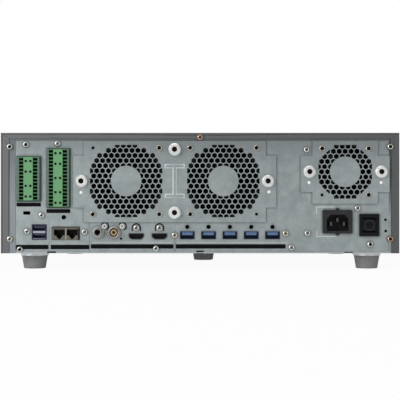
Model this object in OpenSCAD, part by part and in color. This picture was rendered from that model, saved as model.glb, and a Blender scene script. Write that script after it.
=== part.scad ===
// Video recorder with removable fan units, pluggable terminal blocks and a lockable front door.
// X runs along the rear panel, the rear panel faces -Y, and the feet stand on Z = 0.

/* [Body] */
// Width over the painted cover
body_w = 430; // [428:1:460]
// Height of the body without the feet
body_h = 130; // [130:1:145]
// Depth from the rear panel to the front face
body_d = 400; // [394:1:470]
// Thickness of the plated chassis sheet
sheet = 1.2; // [1:0.1:1.4]
// Thickness of the painted cover sheet
cover_t = 1; // [0.8:0.1:1.2]
// Width of the cover's folded lips at the sides of the rear
lip_side = 9; // [7.5:0.1:9.5]
// Height of the cover's folded lip along the top of the rear
lip_top = 6.2; // [5:0.1:6.4]
// Height of the bent edge below the rear panel
edge_h = 2.2; // [2:0.1:2.4]
// Gap at the seams between sheets
seam = 0.3; // [0.2:0.05:0.5]

/* [Feet] */
// Height of a rubber foot
foot_h = 14.3; // [12:0.1:18]
// Diameter of a foot at the floor
foot_floor_d = 23.7; // [20:0.1:25]
// Diameter of a foot at the chassis
foot_top_d = 28.5; // [26:0.1:32]
// Height of the round pad pressed into the chassis above each foot
pad_h = 3.7; // [2:0.1:5]
// Distance of the outer feet from the middle
foot_x = 184.5; // [170:0.5:190]
// Distance of the rear feet from the rear panel
foot_rear = 35; // [28:0.5:60]
// Distance of the front feet from the front face
foot_front = 48; // [46:0.5:90]

/* [Fan units] */
// Outer size of the two large fans
fan_size = 80; // [78:0.5:81]
// Distance between the axes of the two large fans
fan_pitch = 104.8; // [102:0.2:108]
// Hole pitch of the large fans
fan_holes = 71.5; // [70:0.1:72]
// Outer size of the small fan
psu_fan_size = 60; // [58:0.5:61]
// Hole pitch of the small fan
psu_fan_holes = 50; // [48:0.1:51]
// Thickness of the fans
fan_t = 25; // [20:0.5:28]
// Thickness of the two fan plates
plate_t = 1.2; // [1:0.1:1.6]
// Radius of the large grilles, to the middle of their outer holes
grille_r = 39.8; // [34:0.1:40]
// Distance from the middle of the small grille to its eight straight sides
psu_grille_r = 29; // [26:0.1:29.2]
// Radius of the plain disc in the middle of each grille
disc_r = 16.5; // [14:0.1:18]
// Hole size of the grilles across the flats
hex_flats = 5.3; // [4.4:0.1:5.3]
// Hole pitch of the grilles
hex_pitch = 6.35; // [6.2:0.05:7]
// Number of blades on each rotor
blades = 7; // [5:1:9]
// Diameter of a captive screw's head
captive_d = 13.4; // [12:0.1:15]
// Height of a captive screw's head
captive_h = 6; // [4:0.1:7]
// Diameter of a captive screw's shank
captive_shank = 4; // [3:0.1:5]

/* [Sockets] */
// Width of the small terminal header
term_small_w = 26.2; // [25.6:0.1:27]
// Width of the large terminal header
term_large_w = 25.4; // [25:0.1:26]
// Number of wire rows in the small terminal block
term_small_rows = 12; // [8:1:13]
// Number of wire rows in the large terminal block
term_large_rows = 16; // [10:1:17]
// Pitch of the wire rows
term_pitch = 3.81; // [3.5:0.01:3.9]
// Distance that the plugs stand out of the rear panel
term_out = 4; // [3:0.1:9]
// Width of each network opening
lan_w = 11.8; // [11:0.1:12.2]
// Height of each network opening above its latch notch
lan_h = 6.6; // [6:0.1:7]
// Distance that the audio sockets stand out of the rear panel
audio_out = 9.5; // [9:0.1:12]
// Diameter of the audio sockets' flanges
audio_flange_d = 13.3; // [12:0.1:14]
// Bore of the threaded lock nuts above the blue sockets
lock_bore = 4.2; // [3.3:0.1:5]
// Outer diameter of the threaded lock nuts
lock_nut_d = 6.6; // [6:0.1:7]
// Distance between the blue sockets
data_pitch = 23; // [20:0.1:23.4]
// Width of the mains inlet's flange
inlet_w = 31.7; // [30:0.1:33]
// Height of the mains inlet's flange
inlet_h = 25; // [23:0.1:26]
// Width of the rocker switch's flange
switch_w = 21.3; // [20:0.1:23]
// Height of the rocker switch's flange
switch_h = 23.9; // [22:0.1:25]
// Diameter of the small screw heads
screw_head = 6.5; // [5:0.1:7]
// Diameter of the small screws
screw_d = 3; // [2.5:0.1:3.5]

/* [Inside] */
// Thickness of the circuit boards
pcb_t = 1.6; // [1.2:0.1:2]
// Height of the main board's top face above the underside of the chassis
pcb_top = 14.5; // [13.6:0.1:14.6]
// Depth of the main board
main_board_d = 178; // [120:1:185]
// Number of drive bays
bays = 9; // [6:1:9]
// Distance between drive bays
bay_pitch = 32.8; // [31:0.1:32.9]
// Thickness of a hard drive
drive_t = 26.1; // [20:0.1:26.1]
// Height of a hard drive on its edge
drive_h = 101.6; // [95:0.1:101.6]
// Length of a hard drive
drive_l = 147; // [120:1:148]

/* [Front] */
// Depth of the front bezel
bezel_d = 28; // [26:0.5:32]
// Thickness of the front door
door_t = 12; // [11:0.2:14]
// Clearance round the front door
door_gap = 0.6; // [0.5:0.05:1]
// Diameter of the door's hinge pins
hinge_pin_d = 3; // [2:0.1:4]
// Diameter of the key lock
lock_d = 16; // [14:0.1:18]
// Travel of the front buttons
button_travel = 1.5; // [1:0.1:2]

/* [Hidden] */
$fn = 48;

// Clearances: running fits, flat sliding fits, screws in their holes, sockets in their cut-outs
run_gap = 0.05;
slide_gap = 0.3;
screw_gap = 0.2;
port_gap = 0.3;
fan_room = 1;
// Overshoot of the cutting shapes
cut = 1;

// Main planes: the rear panel's outer and inner face, the front face and the bezel's back
left = -body_w / 2;
right = body_w / 2;
base_z = foot_h + pad_h;
y_rear = audio_out - (body_d + audio_out) / 2;
y_in = y_rear + sheet;
y_front = y_rear + body_d;
y_bezel = y_front - bezel_d;
// The chassis fits inside the cover
base_half = body_w / 2 - cover_t - seam;
base_top = body_h - cover_t - seam;
// The rear panel lies between the chassis flanges
panel_inset = [16, 11.2];
panel_x = [left + panel_inset[0], right - panel_inset[1]];
panel_z = [edge_h + seam, base_top];

// Cover screws, in open slots along the inner edge of the lips
cover_screw_inset = 9.9;
cover_screw_low = 15.5;
cover_screw_drop = 15;
cover_screw_z = [cover_screw_low, body_h - cover_screw_drop];
top_screw_drop = 4.9;
top_screw_z = body_h - top_screw_drop;
head_h = 2.2;
head_rim = 0.9;
shank_l = 6;

// Feet, with the middle foot halfway between the rear and the front
foot_at = [
    [-foot_x, y_rear + foot_rear], [foot_x, y_rear + foot_rear], [-foot_x, y_front - foot_front],
    [foot_x, y_front - foot_front], [0, (y_rear + y_front) / 2]
];
foot_screw_d = 4;
foot_head_d = 8;
foot_head_h = 2.5;
foot_recess_d = 10;
foot_recess_h = 7;

// Fan unit: a plate with side tabs, and its four captive screws
unit_x = -27.3;
fan_drop = 52;
fan_z = body_h - fan_drop;
fan_x = [unit_x - fan_pitch / 2, unit_x + fan_pitch / 2];
unit_margin = 5.8;
unit_half = fan_pitch / 2 + fan_size / 2 + unit_margin;
unit_below = 4.5;
unit_above = 3.1;
unit_z = [fan_z - fan_size / 2 - unit_below, fan_z + fan_size / 2 + unit_above];
unit_tab = 11.3;
unit_tab_half = unit_half + unit_tab;
unit_tab_reach = [-28.6, 27.3];
unit_tab_z = fan_z * [1, 1] + unit_tab_reach;
captive_margin = 2.25;
captive_x = unit_half + captive_margin;
captive_z = 34;
bead_w = 21.8;
bead_rib = 4.9;
bead_slope = 1.3;
bead_reach = 16;
bead_h = 1.3;

// Supply fan unit
psu_drop = [58.5, 42];
psu_x = right - psu_drop[0];
psu_z = body_h - psu_drop[1];
psu_margin = 5.3;
psu_half = psu_fan_size / 2 + psu_margin;
psu_below = 4.5;
psu_above = 3.7;
psu_unit_z = [psu_z - psu_fan_size / 2 - psu_below, psu_z + psu_fan_size / 2 + psu_above];
psu_tab = 12.6;
psu_tab_half = psu_half + psu_tab;
psu_tab_reach = [-22, 17.3];
psu_tab_z = psu_z * [1, 1] + psu_tab_reach;
psu_captive_margin = 3.3;
psu_captive_x = psu_half + psu_captive_margin;

// Fans: a frame with a hub on struts, and a rotor whose shaft runs in the hub
fan_corner = 4;
duct_wall = 1.8;
hub_d = 32;
hub_t = 4;
strut_w = 3;
struts = 4;
fan_hole_d = 4.3;
fan_screw_d = 4;
fan_screw_l = 11;
// The corner of each fan that has a small hole instead of a screw
fan_bare = [1, 2];
psu_bare = 0;
bare_hole_d = 3.4;
rotor_gap = 0.6;
rotor_end = 1.5;
shaft_d = 3;
blade_t = 1.4;
blade_pitch = 48;
blade_chord = 20;
blade_tip_gap = 1.2;
corner_signs = [[-1, -1], [-1, 1], [1, -1], [1, 1]];

// Captive screws
captive_rim = 1.6;
captive_recess_d = 5.7;
captive_recess_h = 4;
captive_reach = 6;

// Terminal blocks on the left
term_small_inset = [30.2, 49.6];
term_large_inset = [62.2, 48.8];
term_small_at = left_top(term_small_inset);
term_large_at = left_top(term_large_inset);
term_margin = 1.6;
term_rim = 0.8;
term_rim_out = 1.5;
term_depth = 14;
term_floor = 4;
entry_w = 4.8;
entry_h = 2.8;
entry_x = 7.5;
entry_depth = 9;
strip_w = 10;
strip_h = 0.8;
dot_d = 2.6;
dot_x = 2.5;
dot_depth = 3;
dot_rows_small = [0.5, 3.5, 7.5, 10.5];
dot_rows_large = [0.5, 3.5, 7.5, 11.5, 14.5];

// Sockets along the lower edge
data_stack_inset = [41.4, 23];
data_stack_at = left_low(data_stack_inset);
data_stack_size = [15.6, 16.1];
data_stack_depth = 17;
data_stack_open = [13.2, 5.4];
data_stack_step = 3.9;
data_stack_tongue = [11.2, 2];
lan_inset = [70.1, 21.6];
lan_at = left_low(lan_inset);
lan_size = [29.8, 14];
lan_depth = 20;
lan_step = 6.9;
lan_rise = 1;
lan_hollow = 14;
lan_notch = [[6.2, 2.1], [3.4, 3.8]];
audio_at = [[-109.8, 22.8], [-92.4, 22.8]];
audio_flange_t = 1.5;
audio_barrel_d = [8.6, 11];
audio_insert_d = [6.6, 9.2];
audio_hole_d = [3.9, 3.4];
audio_insert_sink = 0.6;
audio_hole_depth = 8;
audio_back = 12;
post_at = [[-102.7, 29.3], [-83.7, 29.3]];
post_head_d = 5.2;
post_head_h = 1.6;
post_d = 3.4;
post_out = 3.6;
slot_r = [3.4, 4.7];
slot_sweep = 27;
slot_turn = 46;
video_at = [[-68.8, 18.3], [-43.8, 18.3]];
video_size = [16.2, 6.2];
video_wall = 0.5;
video_chamfer = [2.9, 2.5];
video_depth = 12;
video_tongue = [10.6, 1.3];
video_lock_z = 27.4;
video_lock_head = 6.6;
arch_r = [3.9, 5.2];
arch_leg = 3.6;
data_x = -13.8;
data_z = 19.7;
data_count = 5;
data_size = [15.4, 8.4];
data_open = [13.8, 6.9];
data_tongue = [11.6, 3.2];
data_depth = 15;
data_floor = 4;
tongue_sink = 1.4;
data_proud = 0.6;
lock_nut_z = 28.5;
lock_nut_l = 6;
lock_nut_proud = 0.4;
lock_chamfer = 0.4;

// Mains inlet, rocker switch and ground screw on the right
inlet_inset = [66.7, 34.1];
inlet_at = right_low(inlet_inset);
inlet_corner = 1;
inlet_drop = 1.2;
inlet_flange_t = 2.6;
inlet_body = [27.2, 20.4];
inlet_cavity = [23.6, 17.6];
inlet_cavity_cut = 4.4;
inlet_depth = 22;
inlet_cavity_depth = 17;
inlet_pin = [2, 4];
inlet_pin_x = 7;
inlet_pin_z = -2.4;
inlet_earth_z = 1.9;
inlet_pin_sink = 3;
inlet_pin_tail = 7;
switch_inset = [32.4, 30.5];
switch_at = right_low(switch_inset);
switch_flange_t = 1.8;
switch_body = [19, 21.4];
switch_depth = 16;
rocker_w = 15;
rocker_r = 7.7;
rocker_sink = 2;
rocker_floor = 4;
rocker_wing = 4.6;
rocker_valley = 3.2;
rocker_tilt = 8;
rocker_pin_d = 2.4;
rocker_pin_l = 1.4;
switch_hollow = rocker_sink + rocker_r + slide_gap;
ground_inset = [31.5, 9.7];
ground_at = right_low(ground_inset);
ground_head_d = 6.5;

// Small plain holes and slots in the rear panel
lock_slot_inset = [27.9, 43.6];
lock_slot_at = left_low(lock_slot_inset);
lock_slot = [7.7, 3.7];
left_hole = [67.9, 38.9];
middle_hole = [-85.3, 15.8];
right_holes = [[14.9, 36.2], [14.6, 24.1]];
plain_holes = [left_low(left_hole), middle_hole, right_low(right_holes[0]), right_low(right_holes[1])];
plain_hole_d = [5, 2.6, 2.9, 3.1];
// Grooves between the socket groups
groove_inset = [52, 95.5];
groove_middle = -27;
groove_x = [left + groove_inset[0], left + groove_inset[1], groove_middle];
groove_top = 36;
groove_w = 0.5;
groove_depth = 0.4;
// Notches in the lower edge: distance from the middle, width and height
notches = [[-160.4, 9.5, 2], [0, 7.9, 3], [160.4, 9.5, 2]];
notch_depth = 2.6;

// Screws of the rear panel, the ones along the lower edge and the rest
edge_screw_left = [20.6, 4.3];
edge_screws_middle = [[-47.6, 5.2], [98.6, 6.3]];
edge_screws = concat([left_low(edge_screw_left)], edge_screws_middle);
screws_left_top = [[27.1, 12.7], [61.3, 11.6]];
screws_left_low = [[44.1, 41.1], [28.4, 23.6]];
screws_middle = [[-124.5, 23], [-27.5, 19.5], [92.2, 21.3]];
screws_right_low = [[99.1, 21.8], [45.1, 48.6]];
screw_right_top = [100.1, 18.2];
panel_screws_at = concat(
    edge_screws, screws_middle, [right_top(screw_right_top)],
    [for (at = screws_left_top) left_top(at)],
    [for (at = screws_left_low) left_low(at)],
    [for (at = screws_right_low) right_low(at)]
);
edge_lip_top = 11;

// Boards
board_room = 3.5;
main_board_inset = [18, 110];
main_board_x = [left + main_board_inset[0], right - main_board_inset[1]];
standoff_d = 6;
standoff_inset = 8;
chip_w = 36;
chip_h = 3;
memory_count = 4;
memory_x = -42;
memory_pitch = 12;
memory_size = [5, 133, 31];
heat_sink_w = 48;
heat_sink_at = [-90, 105];
heat_sink_base = 4;
heat_sink_h = 26;
heat_sink_fins = 11;
fin_t = 1.4;
alarm_board_inset = [15, 76];
alarm_board_x = left * [1, 1] + alarm_board_inset;
alarm_board_drop = [82, 16];
alarm_board_z = body_h * [1, 1] - alarm_board_drop;

// Power supply on the right
psu_case_inset = [105, 6];
psu_case_x = right * [1, 1] - psu_case_inset;
psu_case_l = 184;
psu_case_drop = 6;
psu_case_top = body_h - psu_case_drop;
psu_wall = 1;
psu_board_lift = 5;
psu_leg_d = 5;
psu_inset = 5;
psu_board_start = 32;
cap_d = 24;
cap_h = 48;
cap_step = 18;
transformer = 48;
transformer_back = 40;

// Drive cage behind the door, with its bays side by side
cage_spare = 5;
cage_l = drive_l + cage_spare;
cage_wall = 1;
cage_w = bays * bay_pitch + cage_wall;
cage_inset = 160;
cage_x = left + cage_inset - cage_w / 2;
cage_room = 21;
cage_top = drive_h + cage_room;
tray_floor = 2;
tray_gap = 0.5;
tray_face_t = 4;
tray_lift = 8;
tray_grip = [12, 26];
tray_grip_t = 1.6;
backplane_z = [6, 118];

// Front bezel: a recess for the door, a window to the drive bays and a panel for the controls
bezel_r = 4;
bezel_wall = 3;
recess_margin = 4;
recess_inset = [3.5, 112];
recess_x = [left + recess_inset[0], right - recess_inset[1]];
window_x = [cage_x, cage_x + cage_w];
window_margin = 9;
window_z = [window_margin, body_h - window_margin];
control_sink = 1.5;
control_margin = 4;
control_x = [recess_x[1] + control_margin, right - control_margin];
control_z = [recess_margin, body_h - recess_margin];
control_mid = (control_x[0] + control_x[1]) / 2;
y_control = y_front - control_sink;
y_wall = y_control - bezel_wall;
boss_d = 7;
boss_l = 9;
boss_inset = 10;
button_z = 62;
button_step = 18;
button_w = 16;
button_h = 9;
button_proud = button_travel;
button_back = 4.5;
button_flange = 1.2;
button_lip = 1;
lens_d = 3;
lens_proud = 0.4;
status_lenses = 4;
status_step = 16;
status_z = 106;
drive_lens_step = 9;
drive_lens_z = 88;
front_data_z = 26;

// Front door on two pins, with a key lock whose cam turns into a pocket of the bezel
hinge_x = recess_x[0] + door_gap + door_t / 2;
hinge_y = y_front - door_t / 2;
door_x1 = recess_x[1] - door_gap;
door_z = [recess_margin + door_gap, body_h - recess_margin - door_gap];
door_skin = 3;
door_rim = 8;
hinge_pin_l = 12;
hinge_pin_floor = 1;
vent_rows = 2;
vent_w = 3;
vent_h = 15;
vent_pitch = 7;
vent_z = 18;
vent_row_step = 22;
vent_margin = 18;
grip_w = 22;
grip_h = 46;
grip_sink = 1.6;
door_lock_inset = 18;
door_lock_at = [door_x1 - door_lock_inset, body_h / 2];
lock_sink = 0.5;
lock_key = [1.4, 8];
lock_key_depth = 3;
cam_t = 2;
cam_w = 7;
cam_reach = 20.2;
cam_gap = 0.6;
cam_y = y_front - door_t + cam_gap;
cam_room = 1.2;

// Colours
zinc = [0.55, 0.575, 0.58];
paint = [0.40, 0.41, 0.42];
bright = [0.8, 0.8, 0.8];
black = [0.09, 0.09, 0.1];
dark = [0.2, 0.2, 0.21];
rubber = [0.3, 0.3, 0.3];
board = [0.1, 0.3, 0.17];
green = [0.42, 0.6, 0.45];
blue = [0.2, 0.33, 0.55];
brass = [0.72, 0.6, 0.35];

// Places measured from the left or the right edge, and from the lower or the upper edge
function left_low(p) = [left + p[0], p[1]];
function left_top(p) = [left + p[0], body_h - p[1]];
function right_low(p) = [right - p[0], p[1]];
function right_top(p) = [right - p[0], body_h - p[1]];

// Two values on either side of a place, or from it
function span(at, reach) = [at + reach[0], at + reach[1]];

// Box between two X, two Y and two Z values
module box(x, y, z) {
    translate([x[0], y[0], z[0]])
        cube([x[1] - x[0], y[1] - y[0], z[1] - z[0]]);
}

// Outline in the X-Z plane, given a thickness along Y from the plane y
module slab(y, t) {
    translate([0, y + t, 0])
        rotate([90, 0, 0])
            linear_extrude(t)
                children();
}

// Round bar along Y
module rod(at, y, l, d) {
    translate([at[0], y + l, at[1]])
        rotate([90, 0, 0])
            cylinder(h = l, d = d);
}

// Rectangle with rounded corners round the middle
module rounded(w, h, r) {
    square([w - 2 * r, h], center = true);
    square([w, h - 2 * r], center = true);
    for (s = corner_signs)
        translate([s[0] * (w / 2 - r), s[1] * (h / 2 - r)])
            circle(r);
}

// Rectangle between two X and two Z values
module area(x, z) {
    translate([x[0], z[0]])
        square([x[1] - x[0], z[1] - z[0]]);
}

// Rectangle of a given size, centred on a place
module plate_at(at, size) {
    translate(at)
        square(size, center = true);
}

// Screw whose head sits on the plane y: a rimmed head with a cross recess, and a shank
module screw(at, y, head_d = screw_head, d = screw_d, l = shank_l) {
    translate([at[0], y, at[1]])
        rotate([90, 0, 0])
            difference() {
                union() {
                    cylinder(h = head_rim, d = head_d);
                    translate([0, 0, head_rim])
                        cylinder(h = head_h - head_rim, d1 = head_d, d2 = head_d - head_h);
                    translate([0, 0, -l])
                        cylinder(h = l, d = d);
                }
                for (turn = [0, 90])
                    translate([0, 0, head_h])
                        rotate(turn)
                            cube([head_d / 2, head_rim, 2 * head_rim], center = true);
            }
}

// Clearance hole for a screw, as an outline
module screw_hole(at, d = screw_d) {
    translate(at)
        circle(d = d + 2 * screw_gap);
}

// Painted cover: a top and two sides, folded in round the rear edge
module top_cover() {
    y_lip = y_rear - cover_t;
    color(paint) {
        box([left, right], [y_lip, y_bezel], [body_h - cover_t, body_h]);
        box([left, left + cover_t], [y_lip, y_bezel], [0, body_h]);
        box([right - cover_t, right], [y_lip, y_bezel], [0, body_h]);
        slab(y_lip, cover_t)
            difference() {
                union() {
                    area([left, left + lip_side], [0, body_h]);
                    area([right - lip_side, right], [0, body_h]);
                    area([left, right], [body_h - lip_top, body_h]);
                }
                cover_screw_holes();
            }
    }
}

// Holes for the cover screws
module cover_screw_holes() {
    for (side = [-1, 1], z = cover_screw_z)
        screw_hole([side * (body_w / 2 - cover_screw_inset), z]);
    screw_hole([0, top_screw_z]);
}

// Plated tray: floor, side walls, rear flanges, bent lower edge and a lip behind the rear panel
module chassis_base() {
    color(zinc)
        difference() {
            union() {
                box([-base_half, base_half], [y_rear, y_bezel], [0, sheet]);
                box([-base_half, sheet - base_half], [y_rear, y_bezel], [0, base_top]);
                box([base_half - sheet, base_half], [y_rear, y_bezel], [0, base_top]);
                box([-base_half, base_half], [y_rear, y_in], [0, edge_h]);
                box(panel_x, [y_in, y_in + sheet], [0, edge_lip_top]);
                slab(y_rear, sheet)
                    difference() {
                        union() {
                            area([-base_half, panel_x[0] - seam], [0, base_top]);
                            area([panel_x[1] + seam, base_half], [0, base_top]);
                        }
                        cover_screw_holes();
                    }
                for (at = foot_at)
                    translate([at[0], at[1], -pad_h])
                        cylinder(h = pad_h, d = foot_top_d + 2 * sheet);
            }
            for (n = notches)
                box(span(n[0], n[1] / 2 * [-1, 1]), [y_rear - cut, y_rear + notch_depth], [-cut, n[2]]);
            slab(y_in - cut, sheet + 2 * cut)
                for (at = concat(edge_screws, [ground_at]))
                    screw_hole(at);
            for (at = foot_at)
                translate([at[0], at[1], -pad_h - cut])
                    cylinder(h = pad_h + sheet + 2 * cut, d = foot_screw_d + 2 * screw_gap);
        }
}

// Plated rear panel with its cut-outs
module rear_panel() {
    color(zinc)
        difference() {
            slab(y_rear, sheet)
                difference() {
                    area(panel_x, panel_z);
                    fan_openings();
                    socket_openings();
                    cover_screw_holes();
                    for (at = panel_screws_at)
                        screw_hole(at);
                    screw_hole(ground_at);
                    for (i = [0 : len(plain_holes) - 1])
                        translate(plain_holes[i])
                            circle(d = plain_hole_d[i]);
                    for (n = notches)
                        area(span(n[0], n[1] / 2 * [-1, 1]), [0, n[2]]);
                }
            for (x = groove_x)
                box([x - groove_w / 2, x + groove_w / 2], [y_rear - cut, y_rear + groove_depth],
                    [panel_z[0] - cut, groove_top]);
        }
}

// Openings that the fans and their captive screws pass through
module fan_openings() {
    for (x = fan_x)
        plate_at([x, fan_z], (fan_size + 2 * fan_room) * [1, 1]);
    plate_at([psu_x, psu_z], (psu_fan_size + 2 * fan_room) * [1, 1]);
    for (at = concat(unit_captives(), psu_captives()))
        translate(at)
            circle(d = captive_shank + 2 * slide_gap);
}

function unit_captives() = [
    [unit_x - captive_x, fan_z], [unit_x + captive_x, fan_z],
    [unit_x, fan_z + captive_z], [unit_x, fan_z - captive_z]
];
function psu_captives() = [[psu_x - psu_captive_x, psu_z], [psu_x + psu_captive_x, psu_z]];

// Openings for the sockets, the inlet and the switch
module socket_openings() {
    plate_at(term_small_at, term_size(term_small_w, term_small_rows) + 2 * port_gap * [1, 1]);
    plate_at(term_large_at, term_size(term_large_w, term_large_rows) + 2 * port_gap * [1, 1]);
    plate_at(data_stack_at, data_stack_size + 2 * port_gap * [1, 1]);
    plate_at(lan_at, lan_size + 2 * port_gap * [1, 1]);
    for (i = [0, 1]) {
        translate(audio_at[i])
            circle(d = audio_barrel_d[i] + 2 * port_gap);
        translate(post_at[i]) {
            circle(d = post_d + 2 * screw_gap);
            arc_slot();
        }
        translate(video_at[i])
            video_outline(video_size[0] + 2 * port_gap, video_size[1] + 2 * port_gap);
        translate([video_at[i][0], video_lock_z]) {
            circle(d = screw_d + 2 * screw_gap);
            arch_slot();
        }
    }
    for (i = [0 : data_count - 1]) {
        plate_at([data_x + i * data_pitch, data_z], data_size + 2 * port_gap * [1, 1]);
        translate([data_x + i * data_pitch, lock_nut_z])
            circle(d = lock_nut_d + 2 * run_gap);
    }
    plate_at(lock_slot_at, lock_slot);
    plate_at(inlet_at - [0, inlet_drop], inlet_body + 2 * port_gap * [1, 1]);
    plate_at(switch_at, switch_body + 2 * port_gap * [1, 1]);
}

// Curved slot over a cable post
module arc_slot() {
    reach = 2 * slot_r[1];
    rotate(-slot_turn)
        difference() {
            circle(slot_r[1]);
            circle(slot_r[0]);
            polygon([[0, 0], reach * [cos(slot_sweep), -sin(slot_sweep)], [reach, -reach], [-reach, -reach],
                reach * [-cos(slot_sweep), -sin(slot_sweep)]]);
        }
}

// Upside-down U slot round a video lock screw
module arch_slot() {
    difference() {
        union() {
            circle(arch_r[1]);
            area([-arch_r[1], arch_r[1]], [-arch_leg, 0]);
        }
        circle(arch_r[0]);
        area([-arch_r[0], arch_r[0]], [-arch_leg - arch_r[1], 0]);
        area([-2 * arch_r[1], 2 * arch_r[1]], [-2 * arch_r[1], -arch_leg]);
    }
}

// Rectangle with its two lower corners cut off
module video_outline(w, h) {
    polygon([
        [-w / 2, h / 2], [w / 2, h / 2], [w / 2, video_chamfer[1] - h / 2],
        [w / 2 - video_chamfer[0], -h / 2], [video_chamfer[0] - w / 2, -h / 2],
        [-w / 2, video_chamfer[1] - h / 2]
    ]);
}

// Screws of the cover, the rear panel and the ground lead
module cover_screws() {
    color(bright) {
        for (side = [-1, 1], z = cover_screw_z)
            screw([side * (body_w / 2 - cover_screw_inset), z], y_rear - cover_t);
        screw([0, top_screw_z], y_rear - cover_t);
    }
}

module panel_screws() {
    color(bright)
        for (at = panel_screws_at)
            screw(at, y_rear);
}

module ground_screw() {
    color(brass)
        screw(ground_at, y_rear, ground_head_d);
}

// Rubber feet and the screws in their recesses
module feet() {
    color(rubber)
        for (at = foot_at)
            translate([at[0], at[1], -pad_h - foot_h])
                difference() {
                    cylinder(h = foot_h, d1 = foot_floor_d, d2 = foot_top_d);
                    translate([0, 0, -cut])
                        cylinder(h = foot_recess_h + cut, d = foot_recess_d);
                    cylinder(h = foot_h + cut, d = foot_screw_d + 2 * screw_gap);
                }
}

module foot_screws() {
    color(bright)
        for (at = foot_at)
            translate([at[0], at[1], foot_recess_h - pad_h - foot_h])
                difference() {
                    union() {
                        translate([0, 0, -foot_head_h])
                            cylinder(h = foot_head_h, d = foot_head_d);
                        cylinder(h = foot_h - foot_recess_h + pad_h + sheet, d = foot_screw_d);
                    }
                    for (turn = [0, 90])
                        translate([0, 0, -foot_head_h])
                            rotate(turn)
                                cube([foot_head_d / 2, head_rim, 2 * head_rim], center = true);
                }
}

// Hexagon holes whose middles lie between the plain disc and a radius, cut off at an outer outline
module grille_holes(reach) {
    row_pitch = hex_pitch * sin(60);
    rows = ceil(reach / row_pitch) + 1;
    part_hole = hex_flats / 4;
    intersection() {
        difference() {
            children();
            circle(disc_r);
        }
        for (row = [-rows : rows], col = [-rows : rows]) {
            at = [(col + row % 2 / 2) * hex_pitch, row * row_pitch];
            if (norm(at) > disc_r - part_hole && norm(at) < reach)
                translate(at)
                    rotate(30)
                        circle(d = hex_flats / cos(30), $fn = 6);
        }
    }
}

module eight_sided(reach) {
    half_turn = 180 / 8;
    rotate(half_turn)
        circle(reach / cos(half_turn), $fn = 8);
}

// Plate of a fan unit: a main rectangle with side tabs
module unit_outline(x, half, z, tab_half, tab_z) {
    area([x - half, x + half], z);
    area([x - tab_half, x + tab_half], tab_z);
}

module captive_holes(places) {
    for (at = places)
        translate(at)
            circle(d = captive_shank + 2 * run_gap);
}

module corner_holes(at, pitch, d, bare = len(corner_signs)) {
    for (i = [0 : len(corner_signs) - 1])
        translate(at + corner_signs[i] * pitch / 2)
            circle(d = i == bare ? bare_hole_d : d);
}

// Bar of the bead with sloping sides: along X, or turned along Z
module bead_bar(at, length, turn) {
    translate([at[0], y_rear - plate_t, at[1]])
        rotate([0, turn, 0])
            translate([-length / 2, 0, 0])
                rotate([90, 0, 90])
                    linear_extrude(length)
                        polygon([
                            [0, -bead_rib / 2], [0, bead_rib / 2],
                            [-bead_h, bead_rib / 2 - bead_slope], [-bead_h, bead_slope - bead_rib / 2]
                        ]);
}

// Plate of the two large fans, with an I-shaped bead between the grilles
module fan_plate() {
    color(zinc) {
        slab(y_rear - plate_t, plate_t)
            difference() {
                unit_outline(unit_x, unit_half, unit_z, unit_tab_half, unit_tab_z);
                for (i = [0, 1]) {
                    translate([fan_x[i], fan_z])
                        grille_holes(grille_r)
                            square((fan_size - duct_wall) * [1, 1], center = true);
                    corner_holes([fan_x[i], fan_z], fan_holes, fan_screw_d + 2 * screw_gap, fan_bare[i]);
                }
                captive_holes(unit_captives());
            }
        bead_bar([unit_x, fan_z], 2 * bead_reach, 90);
        for (s = [-1, 1])
            bead_bar([unit_x, fan_z + s * bead_reach], bead_w, 0);
    }
}

// Plate of the small fan
module psu_fan_plate() {
    color(zinc)
        slab(y_rear - plate_t, plate_t)
            difference() {
                unit_outline(psu_x, psu_half, psu_unit_z, psu_tab_half, psu_tab_z);
                translate([psu_x, psu_z])
                    grille_holes(psu_grille_r + hex_flats / 4)
                        eight_sided(psu_grille_r);
                corner_holes([psu_x, psu_z], psu_fan_holes, fan_screw_d + 2 * screw_gap, psu_bare);
                captive_holes(psu_captives());
            }
}

// Fan frame: a square body with a round duct, and a hub on struts next to the plate
module fan_frame(at, size, pitch) {
    duct_d = size - 2 * duct_wall;
    color(black)
        difference() {
            union() {
                slab(y_rear, fan_t)
                    difference() {
                        translate(at)
                            rounded(size, size, fan_corner);
                        translate(at)
                            circle(d = duct_d);
                        corner_holes(at, pitch, fan_hole_d);
                    }
                rod(at, y_rear, hub_t, hub_d);
                slab(y_rear, hub_t)
                    for (i = [0 : struts - 1])
                        translate(at)
                            rotate((i + 0.5) * 360 / struts)
                                translate([0, -strut_w / 2])
                                    square([size / 2, strut_w]);
            }
            rod(at, y_rear - cut, hub_t + 2 * cut, shaft_d + 2 * run_gap);
        }
}

// Fan rotor: a cup on a shaft with pitched blades
module fan_rotor(at, size) {
    y_cup = y_rear + hub_t + rotor_gap;
    cup_l = fan_t - hub_t - rotor_gap - rotor_end;
    tip_d = size - 2 * duct_wall - 2 * blade_tip_gap;
    color(dark) {
        rod(at, y_cup, cup_l, hub_d);
        rod(at, y_rear + rotor_gap, hub_t + rotor_gap, shaft_d);
        intersection() {
            difference() {
                rod(at, y_cup, cup_l, tip_d);
                rod(at, y_cup - cut, cup_l + 2 * cut, hub_d - cut);
            }
            for (i = [0 : blades - 1])
                translate([at[0], y_cup + cup_l / 2, at[1]])
                    rotate([0, i * 360 / blades, 0])
                        rotate([0, 0, blade_pitch])
                            translate([-blade_t / 2, -blade_chord / 2, hub_d / 2 - cut])
                                cube([blade_t, blade_chord, (tip_d - hub_d) / 2 + 2 * cut]);
        }
    }
}

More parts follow.
